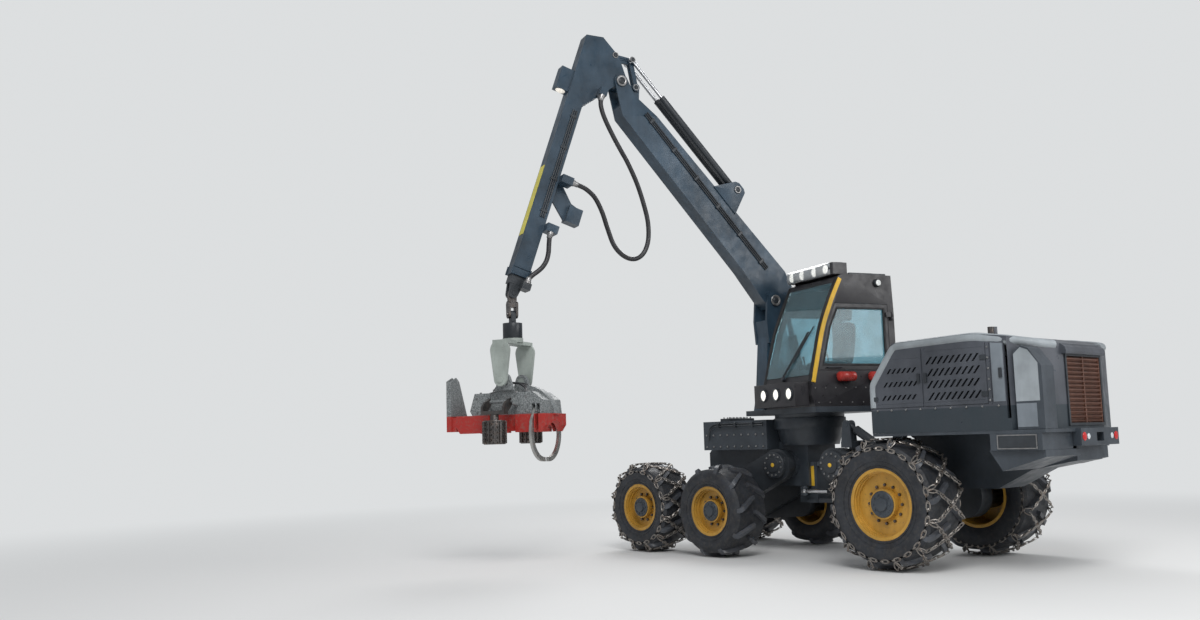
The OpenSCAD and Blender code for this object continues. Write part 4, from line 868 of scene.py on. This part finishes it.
deck_pipes = [tube(beside(np.array(DECK_PIPE) - shift, w, 40), 0.011, LEFT, 10)
              for shift, w in (((0, 0), 0.612), ((0.03, 0.032), 0.638))]
piece("deck_pipes", "front", mirrored(deck_pipes), CHARCOAL)
deck_clamps = mirrored(blocks((2.8, 3.15, 3.5), 0.02, (0.598, 1.895), (0.655, 1.97)))
piece("deck_pipe_clamps", "front", deck_clamps, CHARCOAL, edge=0.004)
deck_bolts = [(x, 0.6, z) for x in np.linspace(2.62, 3.78, 9) for z in (1.6, 1.78)]
piece("deck_bolts", "front", mirrored([studs(deck_bolts, LEFT, 0.016, 0.014)]), BOLT_ZINC)
plate_bolts = [(3.98, y, z) for y in (-0.27, 0.27) for z in np.linspace(1.22, 1.46, 4)]
piece("front_plate_studs", "front", [studs(plate_bolts, (1, 0, 0), 0.018, 0.018)], BOLT_ZINC)
piece("deck_valve_block", "front", [block((3.56, -0.3, 1.99), (3.76, 0.3, 2.045))], CHARCOAL, edge=0.008)
valve_bolts = [(x, y, 2.045) for x in (3.6, 3.72) for y in np.linspace(-0.25, 0.25, 7)]
piece("valve_bolts", "front", [studs(valve_bolts, UP, 0.013, 0.02)], BOLT_ZINC)
piece("joint_marks", "front", mirrored([block((1.945, 0.279, 1.0), (2.0, 0.285, 1.29))]), YELLOW, edge=0.002)

# Cab: window seals, the yellow pillar, lamps, wiper, bottles and seat
CAB_LEFT, CAB_RIGHT = 1.0, -0.3
DOOR_SEAL = [(-0.732, 2.728), (0.405, 2.728), (0.255, 3.294), (0.118, 3.584), (-0.732, 3.584)]
door_seal = border(DOOR_SEAL, 0.03, CAB_LEFT - 0.006, CAB_LEFT + 0.008)
piece("door_window_seal", "door", [door_seal], SEAL, edge=0.003)
right_seal = (door_seal[0] + [0, CAB_RIGHT - CAB_LEFT, 0], door_seal[1])
piece("right_window_seal", "turret", [right_seal], SEAL, edge=0.003)
pillar = smooth_path([(0.606, 2.5), (0.5, 2.92), (0.391, 3.31), (0.235, 3.68), (0.06, 4.02)], 24)
pillar_strip = strip(pillar, 0.062, CAB_LEFT - 0.01, CAB_LEFT + 0.013)
piece("yellow_pillar", "turret", [pillar_strip], YELLOW, edge=0.005)
rib_path = smooth_path(pillar, 120)
ribs = [strip(rib_path[k:k + 2] + [-0.004, 0], 0.052, CAB_LEFT + 0.012, CAB_LEFT + 0.018)
        for k in range(1, 118, 2)]
piece("pillar_ribs", "turret", ribs, YELLOW)
seals = [strip(pillar + [0.006, 0.002], 0.05, y, y + 0.07) for y in (CAB_LEFT - 0.085, CAB_RIGHT + 0.015)]
piece("windscreen_seals", "turret", seals, SEAL, edge=0.004)
SCREEN_FOOT, SCREEN_TOP = np.array([0.592, 2.601]), np.array([0.378, 3.309])


def on_screen(points):
    """Drawn in [up the glass, across, out of it], stood on the lower windscreen."""
    up, w, out = local(points).T
    c, k = unit(SCREEN_TOP - SCREEN_FOOT)
    return turret(np.stack([SCREEN_FOOT[0] + up * c + out * k, w, SCREEN_FOOT[1] + up * k - out * c], 1))


def wiper_bar(up, across, out, reach):
    """A straight round bar on the glass, from the first to the last of up and across."""
    ends = np.array([(up[0], across[0], out), (up[1], across[1], out)])
    k = np.linspace(0, 1, 8)[:, None]
    return tube(ends[0] + k * (ends[1] - ends[0]), reach, UP, 8)


wiper = [wiper_bar((-0.02, 0.66), (0.26 + d, 0.7 + d), 0.026, 0.008) for d in (0.0, 0.035)]
wiper += [wiper_bar((0.2, 0.74), (0.45, 0.8), 0.01, 0.009),
          wiper_bar((0.36, 0.6), (0.55, 0.71), 0.022, 0.006),
          turned([(-0.02, 0.035), (0.03, 0.035), (0.036, 0.026)], 20, "z", (-0.03, 0.28, 0))]
piece("wiper", "turret", wiper, CHARCOAL, place=on_screen)


def lamp_lens(u, w, z, reach):
    """A round lens facing forward, crowned: radius falls as its face comes forward."""
    dome = [(-0.01, 1), (0.004, 1), (0.012, 0.86), (0.017, 0.5), (0.018, 0.1)]
    return turned(dome, 32, "x", (u, w, z), reach)


def lamp_ring(u, w, z, reach):
    """A round bezel: a closed section carried round the lens."""
    section = [(0.0, 0.0), (0.022, 0.0), (0.026, 0.008), (0.022, 0.018), (0.0, 0.02)]
    p, faces = hoop(np.add(section, (0, reach)), 40)
    return p[:, [1, 0, 2]] + [u, w, z], faces


LOW_LAMPS = [(0.86, w, 2.34, 0.078) for w in (0.12, 0.46, 0.8)]
ROOF_LAMPS = [(0.1, w, 4.165, 0.062) for w in (-0.09, 0.19, 0.51, 0.79)]
piece("low_lamp_lenses", "turret", [lamp_lens(*at) for at in LOW_LAMPS], LAMP_LIT)
piece("roof_lamp_lenses", "turret", [lamp_lens(*at) for at in ROOF_LAMPS], LAMP_LIT)
bezels = [lamp_ring(*at) for at in LOW_LAMPS + ROOF_LAMPS]
piece("lamp_bezels", "turret", bezels, CHARCOAL)
BAR_FRONT, BAR_TOP = 0.1, 4.25
COVER_OUT = [(0.102, 4.078), (0.15, 4.092), (0.176, 4.135), (0.168, 4.19), (0.135, 4.238), (0.065, 4.27),
             (-0.03, 4.285), (-0.14, 4.288)]


def swept_cover(outline, w0, w1, stations=49, corners=24):
    """A clear cover over the light bar: outline [forward, up] carried across the cab, with its height over
    the bar times (1 - k^6)^0.4, where k runs from -1 at one end to 1 at the other."""
    out = smooth_path(outline, corners)
    inner = np.minimum(out, [BAR_FRONT, BAR_TOP]) - 0.002
    k = np.linspace(-1, 1, stations)[:, None, None]
    full = np.clip(1 - k ** 6, 0.02, 1) ** 0.4
    loop = np.concatenate([inner + (out - inner) * full, inner[::-1] + 0 * k], 1)
    w = w0 + (w1 - w0) * (k + 1) / 2 + 0 * loop[..., :1]
    return bars(np.concatenate([loop[..., :1], w, loop[..., 1:]], -1)[None])


piece("light_bar_cover", "turret", [swept_cover(COVER_OUT, CAB_RIGHT + 0.05, CAB_LEFT - 0.13)], LAMP_COVER)
SIDE_LAMP = (-0.62, CAB_LEFT, 3.95)
side_lamp = turned([(-0.004, 0.06), (0.03, 0.06), (0.045, 0.05)], 28, "y", SIDE_LAMP)
piece("side_lamp_body", "turret", [side_lamp], CHARCOAL)
side_lens = turned([(0.04, 0.046), (0.052, 0.04), (0.056, 0.02)], 28, "y", SIDE_LAMP)
piece("side_lamp_lens", "turret", [side_lens], SIDE_LIT)
piece("roof_box", "turret", [block((-0.86, 0.1, 4.068), (-0.42, 0.62, 4.165))], CHARCOAL, 0.02)
roof_rails = [block((-0.82, w - 0.012, 4.068), (-0.16, w + 0.012, 4.1))
              for w in (CAB_RIGHT + 0.05, CAB_LEFT - 0.05)]
piece("roof_rails", "turret", roof_rails, CHARCOAL, 0.006)
HANDLE = [(0.33, 0, 2.7), (0.33, 0.035, 2.702), (0.26, 0.04, 2.703), (0.16, 0.04, 2.703),
          (0.09, 0.035, 2.702), (0.09, 0, 2.7)]  # across from the door's face
handle = tube(np.array(HANDLE) + [0, CAB_LEFT, 0], 0.01, UP, 10)
piece("door_handle", "door", [handle], CHARCOAL)
cab_bolts = [(u, CAB_LEFT, z) for end, z, count in ((0.55, 2.41, 9), (0.5, 2.2, 8))
             for u in np.linspace(-0.84, end, count)]
piece("cab_bolts", "turret", [studs(cab_bolts, LEFT, 0.012, 0.01)], BOLT_ZINC)


def bottle(u0, u1):
    """A ribbed bottle lying along the cab: radius = 0.066 + 0.004 cos(36 pi k), drawn in at the ends."""
    k = np.linspace(0, 1, 57)
    radius = 0.066 + 0.004 * np.cos(k * 18 * 2 * np.pi)
    ends = np.sqrt(np.clip(1 - (np.abs(k - 0.5) * 2) ** 14, 0.02, 1))
    return turned(np.stack([u0 + (u1 - u0) * k, radius * ends], 1), 32, "x", (0, CAB_LEFT + 0.0703, 2.57))


bottles = piece("ribbed_bottles", "turret", [bottle(-0.1, 0.2), bottle(-0.7, -0.35)], BOTTLE_RED)
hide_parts("red_bottles")


def pillow(lo, hi, crown, channels, axis):
    """A crowned cushion as a rounded box: x^4 + y^4 + z^4 = 1 stretched to its box, puffed by crown in the
    middle of its face, and drawn in along a few sewn channels across axis."""
    lat, lon = np.linspace(-np.pi / 2, np.pi / 2, 41)[:, None], angles(80)[None, :]
    c = np.stack([np.cos(lat) * np.cos(lon), np.cos(lat) * np.sin(lon), np.sin(lat) * np.ones_like(lon)], -1)
    c = np.sign(c) * np.abs(c) ** 0.45
    c /= (np.abs(c) ** 5).sum(-1, keepdims=True) ** (1 / 5)
    upward = np.array([0, 0, 1.0])
    puff = 1 + crown * (1 - c[..., 0:1] ** 2).clip(0) * (1 - c[..., 1:2] ** 2).clip(0) * upward
    groove = 1 - 0.1 * np.exp(-(((c[..., axis:axis + 1] * channels) % 1 - 0.5) / 0.09) ** 2) * upward
    lo, hi = np.array(lo), np.array(hi)
    return bars(((lo + hi) / 2 + c * puff * groove * (hi - lo) / 2)[None])


def standing(points):
    """Turn a cushion drawn lying so that its crowned face looks forward, and lean it 8 degrees backwards
    from the seat cushion's rear edge."""
    z, w, u = local(points).T
    lean = np.radians(8)
    return turret(np.stack([-0.41 + u * np.cos(lean) - z * np.sin(lean), w,
                            2.8 + z * np.cos(lean) + u * np.sin(lean)], 1))


def cushion(name, fill, place, *shape):
    made = piece(name, "turret", [pillow(*shape)], SEAT_CLOTH, place=place)
    return made


seat_cushion = cushion("seat_cushion", 0.8, turret, (-0.38, 0.11, 2.7), (0.12, 0.59, 2.83), 0.16, 1.5, 0)
cushion("seat_back", 0.75, standing, (-0.02, 0.125, -0.06), (0.63, 0.575, 0.075), 0.16, 2.5, 0)
cushion("head_rest", 0.8, standing, (0.66, 0.24, -0.045), (0.84, 0.46, 0.055), 0.12, 1.0, 1)
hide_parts("seat")
PEDESTAL = [(2.2303, 0.15), (2.26, 0.15), (2.28, 0.1), (2.6, 0.09), (2.63, 0.16), (2.71, 0.18)]
pedestal = turned(PEDESTAL, 36, "z", (-0.13, 0.35, 0))
piece("seat_pedestal", "turret", [pedestal], CHARCOAL)
ARM_RESTS = (0.0, 0.61)
consoles = [block((-0.25, w, 2.72), (0.14, w + 0.09, 2.8)) for w in ARM_RESTS]
levers = [tube([(0.06, w, 2.79), (0.07, w, 2.87), (0.085, w, 2.93)], (0.01, 0.012, 0.02), LEFT)
          for w in np.array(ARM_RESTS) + 0.045]
piece("arm_consoles", "turret", consoles + levers, CHARCOAL, 0.004)


# Crane: pin rings, pipes with clamps, lamps, plates and hoses
PIN_RING = [(0, 0.62), (0.01, 0.64), (0.014, 0.72), (0.014, 0.92), (0.008, 1), (0, 1)]
PIN_DOME = [(-0.006, 0.6), (0.01, 0.6), (0.018, 0.45), (0.02, 0.1)]


def pins(name, body, places, place=None):
    """Light rings round low domes, the dark pins' ends, on both sides of each place (along, across,
    above, reach)."""
    rings, domes = [], []
    for s, w, n, reach in places:
        for side in (1, -1):
            at = (s, side * w, n)
            p, faces = hoop(np.multiply(PIN_RING, (side, reach)), 40)
            rings.append((p + at, faces))
            domes.append(turned(np.multiply(PIN_DOME, (side, reach)), 32, at=at))
    piece(f"{name}_rings", body, rings, BOLT_ZINC, place=place)
    piece(f"{name}_ends", body, domes, CHARCOAL, place=place)


def pipe_run(body, span, w, levels, reach):
    """Straight pipes along span [from, to] on the crane's left face, one at each level above the pins."""
    s = np.linspace(*span, 16)
    pipes = [tube(np.stack([s, 0 * s + w, 0 * s + n], 1), reach, LEFT, 10) for n in levels]
    piece(f"{body}_pipes", body, pipes, CHARCOAL)


ROCKER_PIN = KNUCKLE + rotated((0.293, 0.0), np.radians(139))
ROD_PIN = ROCKER_PIN + rotated((0.42, 0.0), np.radians(31))
pins("boom_pins", "boom", [(KNUCKLE[0], 0.163, KNUCKLE[1], 0.085), (1.7, 0.176, 0.72, 0.06)])
pins("foot_pins", "turret", [(FOOT[0], 0.227, FOOT[1], 0.085)], crane)
pins("jib_pins", "jib", [(0.0, 0.119, 0.0, 0.07), (-0.367, 0.117, 0.204, 0.05)])
pins("rocker_pins", "rocker", [(ROCKER_PIN[0], 0.046, ROCKER_PIN[1], 0.052)])
pins("jib_rod_pins", "jib_rods", [(ROD_PIN[0], 0.115, ROD_PIN[1], 0.045)])
pipe_run("boom", (0.45, 3.55), 0.163, (0.235, 0.265, 0.295), 0.011)
boom_clamps = blocks(np.linspace(0.6, 3.4, 6), 0.02, (0.148, 0.215), (0.18, 0.315))
piece("pipe_clamps", "boom", boom_clamps, CHARCOAL, edge=0.004)
pipe_run("jib", (0.75, 2.5), 0.13, (0.52, 0.55, 0.58), 0.01)
jib_clamps = blocks(np.linspace(0.85, 2.4, 4), 0.018, (0.116, 0.5), (0.144, 0.6))
piece("jib_pipe_clamps", "jib", jib_clamps, CHARCOAL, edge=0.004)
JIB_FACE = 0.735
jib_plate = block((1.72, -0.085, JIB_FACE - 0.002), (2.83, 0.085, JIB_FACE + 0.006))
piece("blank_jib_plate", "jib", [jib_plate], YELLOW_PLATE, edge=0.003)
jib_lens = turned([(0.492, 0.075), (0.505, 0.075), (0.513, 0.064), (0.518, 0.03)], 32, "x", (0, 0, 0.835))
piece("jib_lamp_lens", "jib", [jib_lens], JIB_LIT)
mouth = [border(rectangle(3.32, 0.45, 3.45, 0.75), 0.02, y, y + 0.014) for y in (-0.134, 0.12)]
piece("jib_mouth_band", "jib", mouth, NAVY, edge=0.004)
HOSE_OFF, HOSE_REACH = 0.225, 0.035
LOOP_ROUTE = [(0.3903, 0.25), (0.45, 0.25), (0.54, 0.225), (0.64, 0.165), (0.74, 0.08), (0.85, -0.03),
              (0.98, -0.17), (1.1, -0.31), (1.23, -0.46), (1.46, -0.68), (1.71, -0.87), (1.97, -1.03),
              (2.24, -1.115), (2.46, -1.095), (2.59, -0.98), (2.605, -0.8), (2.51, -0.61), (2.31, -0.44),
              (2.1, -0.28), (1.94, -0.11), (1.87, 0.06), (1.862, 0.19), (1.862, 0.2897)]
DROP_ROUTE = [(2.7023, 0.38), (2.762, 0.38), (2.88, 0.354), (3.0, 0.324), (3.12, 0.318), (3.23, 0.346),
              (3.32, 0.396), (3.39, 0.446), (3.46, 0.484), (3.49, 0.49), (3.5397, 0.49)]


def hose(name, body, path, reach):
    """A hose: a round section carried along its path."""
    made = piece(name, body, [tube(path, reach, LEFT, 20)], HOSE)
    placed = DRAWN_IN[body](path)
    return made


GLAND = [(-0.004, 0.05), (0.03, 0.05), (0.034, 0.043), (0.085, 0.041), (0.09, 0.037)]


def gland(at, way):
    """A hose end's steel collar, turned along way in the jib's plane: stepped rows of radius."""
    p, faces = turned(GLAND, 28, "x")
    c, k = way
    return np.stack([at[0] + p[:, 0] * c - p[:, 2] * k, HOSE_OFF + p[:, 1],
                     at[1] + p[:, 0] * k + p[:, 2] * c], 1), faces


hose_loop = hose("hose_loop_rubber", "jib", beside(LOOP_ROUTE, HOSE_OFF, 120), HOSE_REACH)
hose_drop = hose("hose_drop_rubber", "extension", beside(DROP_ROUTE, HOSE_OFF, 40), HOSE_REACH)
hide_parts("hose_loop")
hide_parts("hose_drop")
glands = [gland(LOOP_ROUTE[0], (1, 0)), gland(LOOP_ROUTE[-1], (0, -1)), gland(DROP_ROUTE[0], (1, 0))]
piece("jib_hose_glands", "jib", glands, BOLT_ZINC)
piece("tip_hose_gland", "extension", [gland(DROP_ROUTE[-1], (-1, 0))], BOLT_ZINC)

# Felling head: bolts, roller teeth, hoses with their collars, and valve blocks
cover_bolts = [(x, y, -1.43) for x in np.linspace(-0.4, 0.36, 5) for y in (-0.24, 0.24)]
side_x = np.linspace(-0.44, 0.5, 7)
side_bolts = [(x, 0.28, -1.7) for x in side_x] + [(x, 0.28, -1.5) for x in side_x if x < 0.4]
head_bolts = mirrored([studs(side_bolts, LEFT, 0.014, 0.012)])
piece("head_cover_bolts", "head", [studs(cover_bolts, UP, 0.018, 0.016)] + head_bolts, BOLT_ZINC)
ROLLER_AT, ROLLER_LOW, ROLLER_HIGH, ROLLER_REACH = (-0.02, 0.54), -2.15, -1.82, 0.15
TOOTH_ROWS, TEETH_ROUND = 9, 16


def roller_teeth(side):
    """Rows of blunt cones round a feed roller: each is three rings of six points from a wide foot to a
    blunt tip."""
    z = np.linspace(ROLLER_LOW + 0.02, ROLLER_HIGH - 0.02, TOOTH_ROWS)[:, None]
    a = angles(TEETH_ROUND) + (np.arange(TOOTH_ROWS) % 2)[:, None] * np.pi / TEETH_ROUND
    up = np.array([0, 0, 1.0])
    out = np.stack([np.cos(a), np.sin(a), 0 * a], -1)
    beside_it = np.stack([-np.sin(a), np.cos(a), 0 * a], -1)[:, :, None, None]
    foot = out * ROLLER_REACH + [ROLLER_AT[0], side * ROLLER_AT[1], 0] + up * z[..., None]
    t = angles(6)[:, None]
    r = np.array([0.014, 0.012, 0.006])[:, None, None]
    h = np.array([-0.004, 0.01, 0.0215])[:, None, None]
    p = foot[:, :, None, None] + r * (beside_it * np.cos(t) + up * np.sin(t)) + h * out[:, :, None, None]
    return bars(p.reshape(-1, 3, 6, 3))


for name, side in (("left", 1), ("right", -1)):
    piece(f"roller_teeth_{name}", f"feed_roller_{name}", [roller_teeth(side)], WORN_STEEL)
HEAD_ARC = [(-0.27, -1.432), (-0.265, -1.39), (-0.22, -1.335), (-0.12, -1.295), (0.0, -1.285), (0.12, -1.3),
            (0.21, -1.345), (0.245, -1.395), (0.25, -1.432)]
HEAD_HOSES, VALVES = (-0.09, -0.03, 0.03, 0.09), (-0.268, 0.248)
for k, w in enumerate(HEAD_HOSES):
    hose(f"head_hose_{k + 1}", "head", beside(HEAD_ARC, w, 40), 0.013)
collars = [turned([(-1.435, 0.024), (-1.405, 0.024), (-1.4, 0.019), (-1.37, 0.018)], 20, "z", (x, w, 0))
           for x in VALVES for w in HEAD_HOSES]
piece("head_hose_collars", "head", collars, BOLT_ZINC)
valve_blocks = blocks(VALVES, 0.05, (-0.14, -1.45), (0.14, -1.415))
piece("head_valve_blocks", "head", valve_blocks, CHARCOAL, edge=0.005)

bpy.context.view_layer.update()
